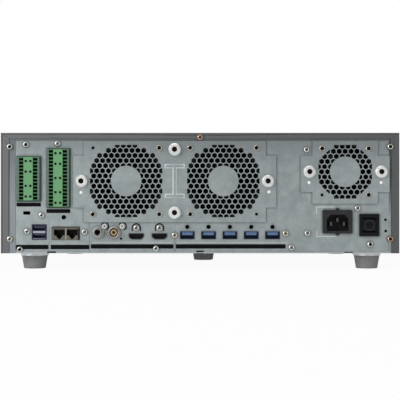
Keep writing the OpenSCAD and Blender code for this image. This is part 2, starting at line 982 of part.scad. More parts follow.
module fan_frame_left() fan_frame([fan_x[0], fan_z], fan_size, fan_holes);
module fan_frame_right() fan_frame([fan_x[1], fan_z], fan_size, fan_holes);
module psu_fan_frame() fan_frame([psu_x, psu_z], psu_fan_size, psu_fan_holes);
module fan_rotor_left() fan_rotor([fan_x[0], fan_z], fan_size);
module fan_rotor_right() fan_rotor([fan_x[1], fan_z], fan_size);
module psu_fan_rotor() fan_rotor([psu_x, psu_z], psu_fan_size);

// Screws of a fan, in all its corners but one
module corner_screws(at, pitch, bare) {
    color(bright)
        for (i = [0 : len(corner_signs) - 1])
            if (i != bare)
                screw(at + corner_signs[i] * pitch / 2, y_rear - plate_t, screw_head, fan_screw_d,
                    fan_screw_l);
}

module fan_screws() {
    for (i = [0, 1])
        corner_screws([fan_x[i], fan_z], fan_holes, fan_bare[i]);
}

module psu_fan_screws() {
    corner_screws([psu_x, psu_z], psu_fan_holes, psu_bare);
}

// Captive screw: a bevelled head with a round recess, and a shank through the plate into the rear panel
module captive_screw(at) {
    color(bright)
        translate([at[0], y_rear - plate_t, at[1]])
            rotate([90, 0, 0])
                difference() {
                    union() {
                        cylinder(h = captive_h - captive_rim, d = captive_d);
                        translate([0, 0, captive_h - captive_rim])
                            cylinder(h = captive_rim, d1 = captive_d, d2 = captive_d - 2 * captive_rim);
                        translate([0, 0, -captive_reach])
                            cylinder(h = captive_reach, d = captive_shank);
                    }
                    translate([0, 0, captive_h - captive_recess_h])
                        cylinder(h = captive_recess_h + cut, d = captive_recess_d);
                }
}

module captive_screw_left() captive_screw(unit_captives()[0]);
module captive_screw_right() captive_screw(unit_captives()[1]);
module captive_screw_top() captive_screw(unit_captives()[2]);
module captive_screw_bottom() captive_screw(unit_captives()[3]);
module psu_captive_screw_left() captive_screw(psu_captives()[0]);
module psu_captive_screw_right() captive_screw(psu_captives()[1]);

// Outer size of a terminal header, and the size of the plug in it
function term_size(w, rows) = [w, rows * term_pitch + 2 * term_margin];
function plug_size(w, rows) = term_size(w, rows) - 2 * (term_rim + slide_gap) * [1, 1];

module terminal_header(at, w, rows) {
    difference() {
        slab(y_rear - term_rim_out, term_depth + term_rim_out)
            plate_at(at, term_size(w, rows));
        slab(y_rear - term_rim_out - cut, term_depth - term_floor + term_rim_out + cut)
            plate_at(at, term_size(w, rows) - 2 * term_rim * [1, 1]);
    }
}

module terminal_headers() {
    color(green) {
        terminal_header(term_small_at, term_small_w, term_small_rows);
        terminal_header(term_large_at, term_large_w, term_large_rows);
    }
}

// Terminal plug: two columns of wire entries beside a raised strip with pairs of test holes
module terminal_plug(at, w, rows, dot_rows) {
    y_face = y_rear - term_out;
    first = at[1] + (rows - 1) / 2 * term_pitch;
    color(green)
        difference() {
            union() {
                slab(y_face, term_out + term_depth - term_floor - slide_gap)
                    plate_at(at, plug_size(w, rows));
                slab(y_face - strip_h, strip_h)
                    plate_at(at, [strip_w, plug_size(w, rows)[1]]);
            }
            slab(y_face - cut, entry_depth + cut)
                for (row = [0 : rows - 1], s = [-1, 1])
                    plate_at([at[0] + s * entry_x, first - row * term_pitch], [entry_w, entry_h]);
            slab(y_face - strip_h - cut, dot_depth + cut)
                for (row = dot_rows, s = [-1, 1])
                    if (row < rows)
                        translate([at[0] + s * dot_x, first - row * term_pitch])
                            circle(d = dot_d);
        }
}

module terminal_plug_small() terminal_plug(term_small_at, term_small_w, term_small_rows, dot_rows_small);
module terminal_plug_large() terminal_plug(term_large_at, term_large_w, term_large_rows, dot_rows_large);

// Board that carries the terminal headers
module alarm_board() {
    color(board)
        slab(y_rear + term_depth, pcb_t)
            area(alarm_board_x, alarm_board_z);
}

// Metal shells of the stacked pair and of the row of blue sockets
module data_shells() {
    color(bright) {
        difference() {
            slab(y_rear - data_proud, data_stack_depth + data_proud)
                plate_at(data_stack_at, data_stack_size);
            slab(y_rear - data_proud - cut, data_stack_depth + data_proud - data_floor + cut)
                for (s = [-1, 1])
                    plate_at(data_stack_at + [0, s * data_stack_step], data_stack_open);
        }
        for (i = [0 : data_count - 1])
            data_shell([data_x + i * data_pitch, data_z], y_rear - data_proud, 1);
    }
}

// One socket shell, open towards the side that it faces: 1 for the rear, -1 for the front
module data_shell(at, y_mouth, facing) {
    y_end = y_mouth + facing * data_depth;
    y_deep = y_end - facing * data_floor;
    difference() {
        slab(min(y_mouth, y_end), data_depth)
            plate_at(at, data_size);
        slab(min(y_mouth - facing * cut, y_deep), data_depth - data_floor + cut)
            plate_at(at, data_open);
    }
}

// Contact tongue on the floor of a socket, at the upper side of its opening
module tongue(at, open, size, y_mouth, y_floor) {
    y_tip = y_mouth + sign(y_floor - y_mouth) * tongue_sink;
    slab(min(y_tip, y_floor), abs(y_floor - y_tip))
        plate_at(at + [0, open[1] / 2 - size[1] / 2 - slide_gap], size);
}

module data_tongues() {
    y_mouth = y_rear - data_proud;
    color(blue) {
        for (s = [-1, 1])
            tongue(data_stack_at + [0, s * data_stack_step], data_stack_open, data_stack_tongue,
                y_mouth, y_rear + data_stack_depth - data_floor);
        for (i = [0 : data_count - 1])
            tongue([data_x + i * data_pitch, data_z], data_open, data_tongue, y_mouth,
                y_mouth + data_depth - data_floor);
    }
}

// Pair of network sockets with latch notches on their lower side
module lan_jack() {
    color(brass)
        difference() {
            slab(y_rear - data_proud, lan_depth + data_proud)
                plate_at(lan_at, lan_size);
            slab(y_rear - data_proud - cut, lan_hollow + data_proud + cut)
                for (s = [-1, 1])
                    translate(lan_at + [s * lan_step, lan_rise]) {
                        square([lan_w, lan_h], center = true);
                        for (n = lan_notch)
                            area([-n[0] / 2, n[0] / 2], [-lan_h / 2 - n[1], 0]);
                    }
        }
}

// Round audio sockets: flanged metal barrels with coloured inserts
module audio_barrels() {
    color(bright)
        for (i = [0, 1])
            difference() {
                union() {
                    rod(audio_at[i], y_rear - audio_flange_t, audio_flange_t, audio_flange_d);
                    rod(audio_at[i], y_rear - audio_out, audio_out + audio_back, audio_barrel_d[i]);
                }
                rod(audio_at[i], y_rear - audio_out - cut, audio_out + audio_back + 2 * cut,
                    audio_insert_d[i] + 2 * run_gap);
            }
}

module audio_inserts() {
    y_face = y_rear - audio_out + audio_insert_sink;
    color(black)
        for (i = [0, 1])
            difference() {
                rod(audio_at[i], y_face, y_rear + audio_back - y_face, audio_insert_d[i]);
                rod(audio_at[i], y_face - cut, audio_hole_depth + cut, audio_hole_d[i]);
            }
}

// Headed posts beside the audio sockets
module cable_posts() {
    color(bright)
        for (at = post_at) {
            rod(at, y_rear - post_out - post_head_h, post_head_h, post_head_d);
            rod(at, y_rear - post_out, post_out + 2 * sheet, post_d);
        }
}

// Video sockets: shells, tongues and lock screws
module video_shells() {
    color(bright)
        for (at = video_at)
            difference() {
                slab(y_rear - data_proud, video_depth + data_proud)
                    translate(at)
                        video_outline(video_size[0], video_size[1]);
                slab(y_rear - data_proud - cut, video_depth - data_floor + data_proud + cut)
                    translate(at)
                        video_outline(video_size[0] - 2 * video_wall, video_size[1] - 2 * video_wall);
            }
}

module video_tongues() {
    color(black)
        for (at = video_at)
            slab(y_rear + data_proud, video_depth - data_floor - data_proud)
                plate_at(at + [0, video_tongue[1] / 2], video_tongue);
}

module video_lock_screws() {
    color(bright)
        for (at = video_at)
            screw([at[0], video_lock_z], y_rear, video_lock_head);
}

// Threaded nuts above the blue sockets, with a chamfered mouth
module data_lock_nuts() {
    y_face = y_rear - lock_nut_proud;
    color(bright)
        for (i = [0 : data_count - 1])
            translate([data_x + i * data_pitch, y_face, lock_nut_z])
                rotate([-90, 0, 0])
                    difference() {
                        cylinder(h = lock_nut_l + lock_nut_proud, d = lock_nut_d);
                        translate([0, 0, -cut])
                            cylinder(h = lock_nut_l + lock_nut_proud + 2 * cut, d = lock_bore);
                        cylinder(h = lock_chamfer, d1 = lock_bore + 2 * lock_chamfer, d2 = lock_bore);
                    }
}

// Mains inlet: a flanged body with a keyed cavity
module ac_inlet() {
    y_face = y_rear - inlet_flange_t;
    half = inlet_cavity / 2;
    color(dark)
        difference() {
            union() {
                slab(y_face, inlet_flange_t)
                    translate(inlet_at)
                        rounded(inlet_w, inlet_h, inlet_corner);
                slab(y_rear, inlet_depth)
                    plate_at(inlet_at - [0, inlet_drop], inlet_body);
            }
            slab(y_face - cut, inlet_cavity_depth + cut)
                translate(inlet_at - [0, inlet_drop])
                    polygon([
                        -half, [half[0], -half[1]], [half[0], half[1] - inlet_cavity_cut],
                        [half[0] - inlet_cavity_cut, half[1]], [inlet_cavity_cut - half[0], half[1]],
                        [-half[0], half[1] - inlet_cavity_cut]
                    ]);
            slab(y_face, inlet_depth + inlet_flange_t + cut)
                for (at = inlet_pins_at())
                    plate_at(at, inlet_pin + 2 * run_gap * [1, 1]);
        }
}

function inlet_pins_at() = [
    inlet_at + [0, inlet_earth_z], inlet_at + [-inlet_pin_x, inlet_pin_z],
    inlet_at + [inlet_pin_x, inlet_pin_z]
];

module ac_inlet_pins() {
    y_tip = y_rear - inlet_flange_t + inlet_pin_sink;
    color(bright)
        for (at = inlet_pins_at())
            slab(y_tip, y_rear + inlet_depth + inlet_pin_tail - y_tip)
                plate_at(at, inlet_pin);
}

// Rocker switch: a flanged frame with two pivot holes, and a rocker that tilts in it
module switch_frame() {
    color(dark)
        difference() {
            union() {
                slab(y_rear - switch_flange_t, switch_flange_t)
                    plate_at(switch_at, [switch_w, switch_h]);
                slab(y_rear, switch_depth)
                    plate_at(switch_at, switch_body);
            }
            slab(y_rear - switch_flange_t - cut, switch_flange_t + switch_hollow + cut)
                plate_at(switch_at, [rocker_w + 2 * slide_gap, 2 * (rocker_r + slide_gap)]);
            rocker_pins(rocker_w / 2 + rocker_pin_l + slide_gap, rocker_pin_d + 2 * run_gap);
        }
}

// Pivot pins of the rocker, along X
module rocker_pins(reach, d) {
    translate([switch_at[0] - reach, y_rear + rocker_sink, switch_at[1]])
        rotate([0, 90, 0])
            cylinder(h = 2 * reach, d = d);
}

module power_rocker() {
    color(black) {
        rocker_pins(rocker_w / 2 + rocker_pin_l, rocker_pin_d);
        translate([switch_at[0] - rocker_w / 2, y_rear + rocker_sink, switch_at[1]])
            rotate([rocker_tilt, 0, 0])
                rotate([90, 0, 90])
                    linear_extrude(rocker_w)
                        intersection() {
                            circle(rocker_r);
                            polygon([
                                [rocker_floor, -rocker_r], [rocker_floor, rocker_r],
                                [-rocker_wing - rocker_sink, rocker_r], [-rocker_valley, 0],
                                [-rocker_wing - rocker_sink, -rocker_r]
                            ]);
                        }
    }
}

// Main board with its chips, on standoffs
main_board_y = [y_rear + board_room, y_rear + board_room + main_board_d];
standoffs_at = [
    for (x = [main_board_x[0] + standoff_inset, main_board_x[1] - standoff_inset],
        y = [main_board_y[0] + standoff_inset, main_board_y[1] - standoff_inset]) [x, y]
];

module main_board() {
    sink_y = y_rear + heat_sink_at[1];
    color(board) {
        box(main_board_x, main_board_y, [pcb_top - pcb_t, pcb_top]);
        translate([heat_sink_at[0], sink_y, pcb_top + chip_h / 2])
            cube([chip_w, chip_w, chip_h], center = true);
        for (i = [0 : memory_count - 1])
            translate([memory_x + i * memory_pitch, sink_y, pcb_top + memory_size[2] / 2])
                cube(memory_size, center = true);
    }
}

module board_standoffs() {
    color(bright)
        for (at = standoffs_at)
            translate([at[0], at[1], sheet])
                cylinder(h = pcb_top - pcb_t - sheet, d = standoff_d);
}

// Finned heat sink on the main chip
module heat_sink() {
    half = heat_sink_w / 2;
    y_mid = y_rear + heat_sink_at[1];
    z_base = pcb_top + chip_h;
    fin_step = (heat_sink_w - fin_t) / (heat_sink_fins - 1);
    color(bright)
        translate([heat_sink_at[0] - half, y_mid - half, z_base]) {
            cube([heat_sink_w, heat_sink_w, heat_sink_base]);
            for (i = [0 : heat_sink_fins - 1])
                translate([i * fin_step, 0, 0])
                    cube([fin_t, heat_sink_w, heat_sink_h]);
        }
}

// Power supply: a sheet case that is open towards the rear panel, with a board on legs
module power_supply_case() {
    y_start = y_in + sheet;
    color(zinc)
        difference() {
            box(psu_case_x, [y_start, y_start + psu_case_l], [sheet, psu_case_top]);
            box(psu_case_x + psu_wall * [1, -1], [y_start - cut, y_start + psu_case_l - psu_wall],
                [sheet + psu_wall, psu_case_top - psu_wall]);
        }
}

module power_supply_board() {
    x = psu_case_x + (psu_wall + psu_inset) * [1, -1];
    y = [y_rear + psu_board_start, y_in + psu_case_l - psu_inset];
    z = sheet + psu_wall + psu_board_lift;
    mid = (x[0] + x[1]) / 2;
    color(board) {
        box(x, y, [z, z + pcb_t]);
        for (px = x + psu_leg_d * [1, -1], py = y + psu_leg_d * [1, -1])
            translate([px, py, sheet + psu_wall])
                cylinder(h = psu_board_lift, d = psu_leg_d);
        for (side = [-1, 1])
            translate([mid + side * cap_step, y[0] + cap_d, z + pcb_t])
                cylinder(h = cap_h, d = cap_d);
        box(span(mid, transformer / 2 * [-1, 1]), span(y[1] - transformer_back, [-transformer, 0]),
            [z, z + transformer]);
    }
}

// Drive cage: a box that is open at both ends, with a wall between each two bays
module drive_cage() {
    color(zinc) {
        box([cage_x, cage_x + cage_w], [y_bezel - cage_l, y_bezel], [sheet, sheet + cage_wall]);
        box([cage_x, cage_x + cage_w], [y_bezel - cage_l, y_bezel], [cage_top, cage_top + cage_wall]);
        for (i = [0 : bays])
            box(span(cage_x + i * bay_pitch, [0, cage_wall]), [y_bezel - cage_l, y_bezel],
                [sheet, cage_top + cage_wall]);
    }
}

function bay_x(i) = [cage_x + i * bay_pitch + cage_wall, cage_x + (i + 1) * bay_pitch];

// Drive trays: a floor under each drive, and a face with a grip in the bezel's window
module drive_trays() {
    z_floor = sheet + cage_wall;
    color(dark)
        for (i = [0 : bays - 1]) {
            x = bay_x(i) + tray_gap * [1, -1];
            mid = (x[0] + x[1]) / 2;
            difference() {
                union() {
                    box(x, [y_bezel - cage_l, y_bezel], [z_floor, z_floor + tray_lift]);
                    box(x, [y_bezel, y_bezel + tray_face_t], window_z + 2 * tray_gap * [1, -1]);
                    box(x, [y_bezel - tray_face_t, y_bezel], [z_floor, cage_top - tray_gap]);
                }
                box([mid - tray_grip[0] / 2, mid + tray_grip[0] / 2],
                    [y_bezel + tray_face_t - tray_grip_t, y_bezel + tray_face_t + cut],
                    [body_h / 2 - tray_grip[1] / 2, body_h / 2 + tray_grip[1] / 2]);
                box(x + tray_floor * [1, -1], [y_bezel - cage_l - cut, y_bezel - tray_face_t],
                    [z_floor + tray_floor, z_floor + tray_lift + cut]);
            }
        }
}

// Hard drives on edge in their trays
module hard_drives() {
    z = sheet + cage_wall + tray_floor;
    color(bright)
        for (i = [0 : bays - 1]) {
            mid = (bay_x(i)[0] + bay_x(i)[1]) / 2;
            box(span(mid, drive_t / 2 * [-1, 1]), span(y_bezel - tray_face_t, [-drive_l, 0]),
                [z, z + drive_h]);
        }
}

// Board behind the cage that the drives plug into
module drive_backplane() {
    y = y_bezel - cage_l - pcb_t;
    color(board)
        box([cage_x, cage_x + cage_w], [y, y + pcb_t], backplane_z);
}

// Front bezel
module front_bezel() {
    color(dark)
        difference() {
            union() {
                difference() {
                    slab(y_bezel, bezel_d)
                        translate([0, body_h / 2])
                            rounded(body_w, body_h, bezel_r);
                    box(recess_x, [y_front - door_t - door_gap, y_front + cut],
                        [recess_margin, body_h - recess_margin]);
                    box(window_x, [y_bezel - cut, y_front], window_z);
                    box(control_x, [y_control, y_front + cut], control_z);
                    box(control_x, [y_bezel - cut, y_wall], control_z);
                }
                for (at = boss_at)
                    rod(at, y_wall - boss_l, boss_l, boss_d);
            }
            slab(y_wall - cut, bezel_wall + 2 * cut) {
                for (at = buttons_at)
                    plate_at(at, [button_w, button_h] + 2 * slide_gap * [1, 1]);
                for (at = lenses_at())
                    translate(at)
                        circle(d = lens_d + 2 * run_gap);
                for (at = front_data_at)
                    plate_at(at, data_size + 2 * port_gap * [1, 1]);
            }
            hinge_pins(hinge_pin_d + 2 * run_gap, slide_gap);
            box([recess_x[1] - cut, door_lock_at[0] + cam_reach + cam_room],
                [cam_y - cam_room, cam_y + cam_t + cam_room],
                span(door_lock_at[1], [-cam_w, cam_reach]));
        }
}

boss_at = [
    for (x = control_x + boss_inset * [1, -1], z = control_z + boss_inset * [1, -1])
        [x, z]
];
buttons_at = [[control_mid - button_step, button_z], [control_mid + button_step, button_z]];
front_data_at = [[control_mid - button_step, front_data_z], [control_mid + button_step, front_data_z]];
function lens_row(count, step, z) = [
    for (i = [0 : count - 1]) [control_mid + (i - (count - 1) / 2) * step, z]
];
function lenses_at() = concat(
    lens_row(status_lenses, status_step, status_z), lens_row(bays, drive_lens_step, drive_lens_z)
);

// Board behind the controls, on the bezel's bosses
module front_board() {
    margin = bezel_wall;
    color(board)
        slab(y_wall - boss_l - pcb_t, pcb_t)
            difference() {
                area(control_x + margin * [1, -1], control_z + margin * [1, -1]);
                for (at = front_data_at)
                    plate_at(at, data_size + 2 * port_gap * [1, 1]);
            }
}

module indicator_lenses() {
    color(bright)
        for (at = lenses_at())
            rod(at, y_wall - boss_l, boss_l + bezel_wall + lens_proud, lens_d);
}

module front_data_ports() {
    color(bright)
        for (at = front_data_at) {
            data_shell(at, y_control, -1);
            tongue(at, data_open, data_tongue, y_control, y_control - data_depth + data_floor);
        }
}

// Push button: a cap through the bezel, with a wider flange behind it
module front_button(at) {
    color(black) {
        slab(y_control - button_back, button_back + button_proud)
            plate_at(at, [button_w, button_h]);
        slab(y_wall - button_flange - slide_gap, button_flange)
            plate_at(at, [button_w, button_h] + 2 * button_lip * [1, 1]);
    }
}

module alarm_reset_button() front_button(buttons_at[0]);
module buzzer_stop_button() front_button(buttons_at[1]);

// Hinge pins in the upper and lower edge of the bezel's recess, with spare length in the door
module hinge_pins(d, spare) {
    length = hinge_pin_l + spare;
    for (z = [hinge_pin_floor, body_h - hinge_pin_floor - length])
        translate([hinge_x, hinge_y, z])
            cylinder(h = length, d = d);
}

module door_hinge_pins() {
    color(bright)
        hinge_pins(hinge_pin_d, 0);
}

// Front door: a hollow panel with vents, a grip and a rounded hinge edge
module front_door() {
    inner_x = [hinge_x + door_rim, door_x1 - door_rim];
    inner_z = [door_z[0] + door_rim, door_z[1] - door_rim];
    y_skin = y_front - door_skin;
    vents = floor((door_x1 - hinge_x - 2 * vent_margin - grip_w) / vent_pitch);
    color(dark)
        difference() {
            union() {
                box([hinge_x, door_x1], [y_front - door_t, y_front], door_z);
                translate([hinge_x, hinge_y, door_z[0]])
                    cylinder(h = door_z[1] - door_z[0], d = door_t);
            }
            box(inner_x, [y_front - door_t - cut, y_skin], inner_z);
            slab(y_skin - cut, door_skin + 2 * cut)
                for (i = [0 : vents - 1], row = [0 : vent_rows - 1])
                    area(span(hinge_x + vent_margin + i * vent_pitch, [0, vent_w]),
                        span(vent_z + row * vent_row_step, [0, vent_h]));
            slab(y_front - grip_sink, grip_sink + cut)
                plate_at(door_lock_at + [-grip_w, 0], [grip_w / 2, grip_h]);
            rod(door_lock_at, y_skin - cut, door_skin + 2 * cut, lock_d + 2 * run_gap);
            box([inner_x[1] - cut, door_x1 + cut], [y_front - door_t - cut, cam_y + cam_t + cam_room],
                span(door_lock_at[1], [-cam_w, cam_reach]));
            hinge_pins(hinge_pin_d + 2 * run_gap, slide_gap);
        }
}

// Key lock: a barrel through the door's skin, with a cam that points up when it is unlocked
module door_lock() {
    y_face = y_front - lock_sink;
    color(bright)
        difference() {
            union() {
                rod(door_lock_at, cam_y, y_face - cam_y, lock_d);
                slab(cam_y, cam_t)
                    area(span(door_lock_at[0], cam_w / 2 * [-1, 1]), span(door_lock_at[1], [0, cam_reach]));
            }
            slab(y_face - lock_key_depth, lock_key_depth + cut)
                plate_at(door_lock_at, lock_key);
        }
}

// Everything stands on the feet
module raised() {
    translate([0, 0, base_z])
        children();
}

raised() chassis_base();
raised() rear_panel();
raised() top_cover();
raised() front_bezel();
raised() drive_cage();
raised() drive_trays();
raised() hard_drives();
raised() drive_backplane();
raised() power_supply_case();
raised() power_supply_board();
raised() ac_inlet();
raised() ac_inlet_pins();
raised() switch_frame();
raised() main_board();
raised() board_standoffs();
raised() heat_sink();
raised() alarm_board();
raised() terminal_headers();
raised() data_shells();
raised() data_tongues();
raised() lan_jack();
raised() audio_barrels();
raised() audio_inserts();
raised() cable_posts();
raised() video_shells();
raised() video_tongues();
raised() video_lock_screws();
raised() data_lock_nuts();
raised() cover_screws();
raised() panel_screws();
raised() ground_screw();
raised() feet();
raised() foot_screws();
raised() front_board();
raised() indicator_lenses();
raised() front_data_ports();
raised() door_hinge_pins();
raised() fan_plate();
raised() fan_frame_left();
raised() fan_frame_right();
raised() fan_screws();
raised() fan_rotor_left();
raised() fan_rotor_right();
raised() captive_screw_left();
raised() captive_screw_right();
raised() captive_screw_top();
raised() captive_screw_bottom();
raised() psu_fan_plate();
raised() psu_fan_frame();
raised() psu_fan_screws();
raised() psu_fan_rotor();
raised() psu_captive_screw_left();
raised() psu_captive_screw_right();
raised() power_rocker();
raised() terminal_plug_small();
raised() terminal_plug_large();
raised() front_door();
raised() door_lock();
raised() alarm_reset_button();
raised() buzzer_stop_button();
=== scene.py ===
import math

import bmesh
import bpy
from mathutils import Matrix, Vector


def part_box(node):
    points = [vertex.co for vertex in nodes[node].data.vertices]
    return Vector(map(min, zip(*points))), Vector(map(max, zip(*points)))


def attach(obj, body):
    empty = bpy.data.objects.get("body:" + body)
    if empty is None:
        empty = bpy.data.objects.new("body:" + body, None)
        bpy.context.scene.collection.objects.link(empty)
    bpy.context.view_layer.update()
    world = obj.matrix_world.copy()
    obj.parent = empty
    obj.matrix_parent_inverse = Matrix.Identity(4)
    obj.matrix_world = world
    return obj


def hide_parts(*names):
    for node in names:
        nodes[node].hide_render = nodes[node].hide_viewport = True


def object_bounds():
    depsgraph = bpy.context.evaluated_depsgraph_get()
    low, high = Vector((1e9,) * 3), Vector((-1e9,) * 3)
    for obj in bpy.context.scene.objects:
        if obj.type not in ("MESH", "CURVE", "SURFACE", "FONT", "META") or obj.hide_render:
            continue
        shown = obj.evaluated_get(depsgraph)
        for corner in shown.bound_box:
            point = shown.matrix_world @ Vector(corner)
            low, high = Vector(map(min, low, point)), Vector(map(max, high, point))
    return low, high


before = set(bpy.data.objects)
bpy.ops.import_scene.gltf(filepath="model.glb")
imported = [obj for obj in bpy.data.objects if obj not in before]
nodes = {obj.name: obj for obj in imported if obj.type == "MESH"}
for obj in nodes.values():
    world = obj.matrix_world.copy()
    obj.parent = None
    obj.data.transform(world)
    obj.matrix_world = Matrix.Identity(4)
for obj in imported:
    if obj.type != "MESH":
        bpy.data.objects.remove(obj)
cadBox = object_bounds()
mm = 0.001
mergeGap = 1e-6  # points closer than this, in metres, are one
plateThick = 1.2
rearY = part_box("rear_panel")[0].y  # outer face of the rear panel
plateY = rearY - plateThick * mm  # outer face of the two fan plates
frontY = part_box("front_bezel")[1].y
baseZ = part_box("top_cover")[0].z  # underside of the body, above the feet
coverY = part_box("top_cover")[0].y
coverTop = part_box("top_cover")[1].z
print("frame loaded:", len(nodes), "nodes")


def srgb(red, green, blue):
    def linear(value):
        value /= 255
        return value / 12.92 if value <= 0.04045 else ((value + 0.055) / 1.055) ** 2.4
    return (linear(red), linear(green), linear(blue), 1)


def looseSolids(name):
    bm = bmesh.new()
    bm.from_mesh(nodes[name].data)
    bmesh.ops.remove_doubles(bm, verts=bm.verts, dist=mergeGap)
    solids, seen = [], set()
    for first in bm.verts:
        if first in seen:
            continue
        seen.add(first)
        waiting, points = [first], []
        while waiting:
            vert = waiting.pop()
            points.append(vert.co.copy())
            for edge in vert.link_edges:
                other = edge.other_vert(vert)
                if other not in seen:
                    seen.add(other)
                    waiting.append(other)
        solids.append(points)
    bm.free()
    return solids


def middleOf(points):
    xs, zs = [p.x for p in points], [p.z for p in points]
    return (min(xs) + max(xs)) / 2, (min(zs) + max(zs)) / 2


# shader building blocks

def put(tree, kind, values=None, **settings):
    node = tree.nodes.new("ShaderNode" + kind)
    for key, value in settings.items():
        setattr(node, key, value)
    for key, value in (values or {}).items():
        if isinstance(value, bpy.types.NodeSocket):
            tree.links.new(value, node.inputs[key])
        else:
            node.inputs[key].default_value = value
    return node


def mixed(tree, factor, first, second):
    node = put(tree, "Mix", {0: factor, 6: first, 7: second}, data_type="RGBA")
    return node.outputs[2]


def maths(tree, operation, first, second=0.0):
    return put(tree, "Math", {0: first, 1: second}, operation=operation).outputs[0]


def ranged(tree, value, spread, result=(0.0, 1.0)):
    return put(tree, "MapRange", {"Value": value, "From Min": spread[0], "From Max": spread[1],
                                  "To Min": result[0], "To Max": result[1]}).outputs["Result"]


def near(tree, coords, place, radius):
    gap = put(tree, "VectorMath", {0: coords, 1: place}, operation="DISTANCE").outputs["Value"]
    return maths(tree, "LESS_THAN", gap, radius)


def beside(tree, coords, x, z):
    flat = put(tree, "VectorMath", {0: coords, 1: (1, 0, 1)}, operation="MULTIPLY").outputs["Vector"]
    return put(tree, "VectorMath", {0: flat, 1: (x, 0, z)}, operation="DISTANCE").outputs["Value"]


def within(tree, value, low, high):
    above = maths(tree, "GREATER_THAN", value, low)
    return maths(tree, "MULTIPLY", above, maths(tree, "LESS_THAN", value, high))


def spotOn(tree, coords, color, middle, radius, tone):
    gap = beside(tree, coords, *middle)
    return mixed(tree, maths(tree, "LESS_THAN", gap, radius * mm), color, tone)


# what all the finishes share: noise detail, how far the noise spreads, and how sharp a worn and highlighted
# edge is
surfaceBase = {"patchDetail": 4.0, "grainDetail": 3.0, "patchSpread": (0.32, 0.68), "grainSpread": (0.3, 0.7),
               "hollowPower": 2.0, "hollowSamples": 8, "edgeSamples": 4, "edgeSpread": (0.75, 0.97),
               "coatRough": 0.25}


def surface(name, look, paintOver=None):
    material = bpy.data.materials.new(name)
    material.use_nodes = True
    tree = material.node_tree
    shader = tree.nodes["Principled BSDF"]
    coords = put(tree, "TexCoord").outputs["Object"]
    laid = put(tree, "Mapping", {"Vector": coords, "Scale": look.get("stretch", (1, 1, 1))}).outputs["Vector"]
    cloud = put(tree, "TexNoise", {"Vector": coords, "Scale": look["patch"],
                                   "Detail": surfaceBase["patchDetail"]}).outputs["Fac"]
    grain = put(tree, "TexNoise", {"Vector": laid, "Scale": look["grain"],
                                   "Detail": surfaceBase["grainDetail"]}).outputs["Fac"]
    spread = ranged(tree, cloud, surfaceBase["patchSpread"])
    color = mixed(tree, spread, look["dark"], look["light"])
    if paintOver:
        color = paintOver(tree, coords, color)
    if "hollow" in look:  # painted shade: darker where the shape closes in
        free = put(tree, "AmbientOcclusion", {"Distance": look["hollow"]},
                   only_local=not look.get("hollowShared"),
                   samples=surfaceBase["hollowSamples"]).outputs["AO"]
        color = mixed(tree, maths(tree, "POWER", free, surfaceBase["hollowPower"]), look["hollowShade"], color)
    if "wearAndHighlight" in look:  # worn metal or dust along the edges, and a painted highlight on them
        bent = put(tree, "Bevel", {"Radius": look["wearAndHighlightWidth"]},
                   samples=surfaceBase["edgeSamples"]).outputs["Normal"]
        flat = put(tree, "NewGeometry").outputs["Normal"]
        same = put(tree, "VectorMath", {0: bent, 1: flat}, operation="DOT_PRODUCT").outputs["Value"]
        edge = ranged(tree, same, surfaceBase["edgeSpread"], (look["wearAndHighlightAmount"], 0.0))
        color = mixed(tree, maths(tree, "MULTIPLY", edge, spread), color, look["wearAndHighlight"])
    rough = ranged(tree, grain, surfaceBase["grainSpread"], look["rough"])
    bump = put(tree, "Bump", {"Height": grain, "Strength": look["bump"], "Distance": look["depth"]})
    tree.links.new(color, shader.inputs["Base Color"])
    tree.links.new(rough, shader.inputs["Roughness"])
    tree.links.new(bump.outputs["Normal"], shader.inputs["Normal"])
    shader.inputs["Metallic"].default_value = look.get("metal", 0.0)
    shader.inputs["Specular IOR Level"].default_value = look.get("gloss", 0.5)
    if "coat" in look:
        shader.inputs["Coat Weight"].default_value = look["coat"]
        shader.inputs["Coat Roughness"].default_value = surfaceBase["coatRough"]
    return material


# finishes

# the edge tones of these finishes stand for wear and for a painted highlight on the edges
zincLook = {"dark": srgb(139, 148, 149), "light": srgb(154, 162, 163), "patch": 120.0, "grain": 1400.0,
            "rough": (0.3, 0.42), "bump": 0.12, "depth": 0.0002, "metal": 0.6,
            "wearAndHighlight": srgb(178, 184, 186), "wearAndHighlightWidth": 0.0006, "wearAndHighlightAmount": 0.55}
# rear panel: painted shade where it closes in, also round the parts that stand on it
panelLook = dict(zincLook, hollow=0.003, hollowShade=srgb(84, 89, 92), hollowShared=True)
coverLook = {"dark": srgb(86, 88, 90), "light": srgb(92, 94, 96), "patch": 22.0, "grain": 1800.0,
             "rough": (0.5, 0.66), "bump": 0.25, "depth": 0.0003,
             "wearAndHighlight": srgb(150, 152, 153), "wearAndHighlightWidth": 0.0007, "wearAndHighlightAmount": 0.35}
brightLook = {"dark": srgb(196, 196, 194), "light": srgb(222, 222, 219), "patch": 400.0, "grain": 3000.0,
              "rough": (0.22, 0.38), "bump": 0.08, "depth": 0.0001, "metal": 0.75}
# screws: painted shade deep in the recess
screwLook = dict(brightLook, dark=srgb(182, 182, 178), light=srgb(208, 208, 204), rough=(0.2, 0.32),
                 metal=0.95, hollow=0.0024, hollowShade=srgb(16, 16, 16))
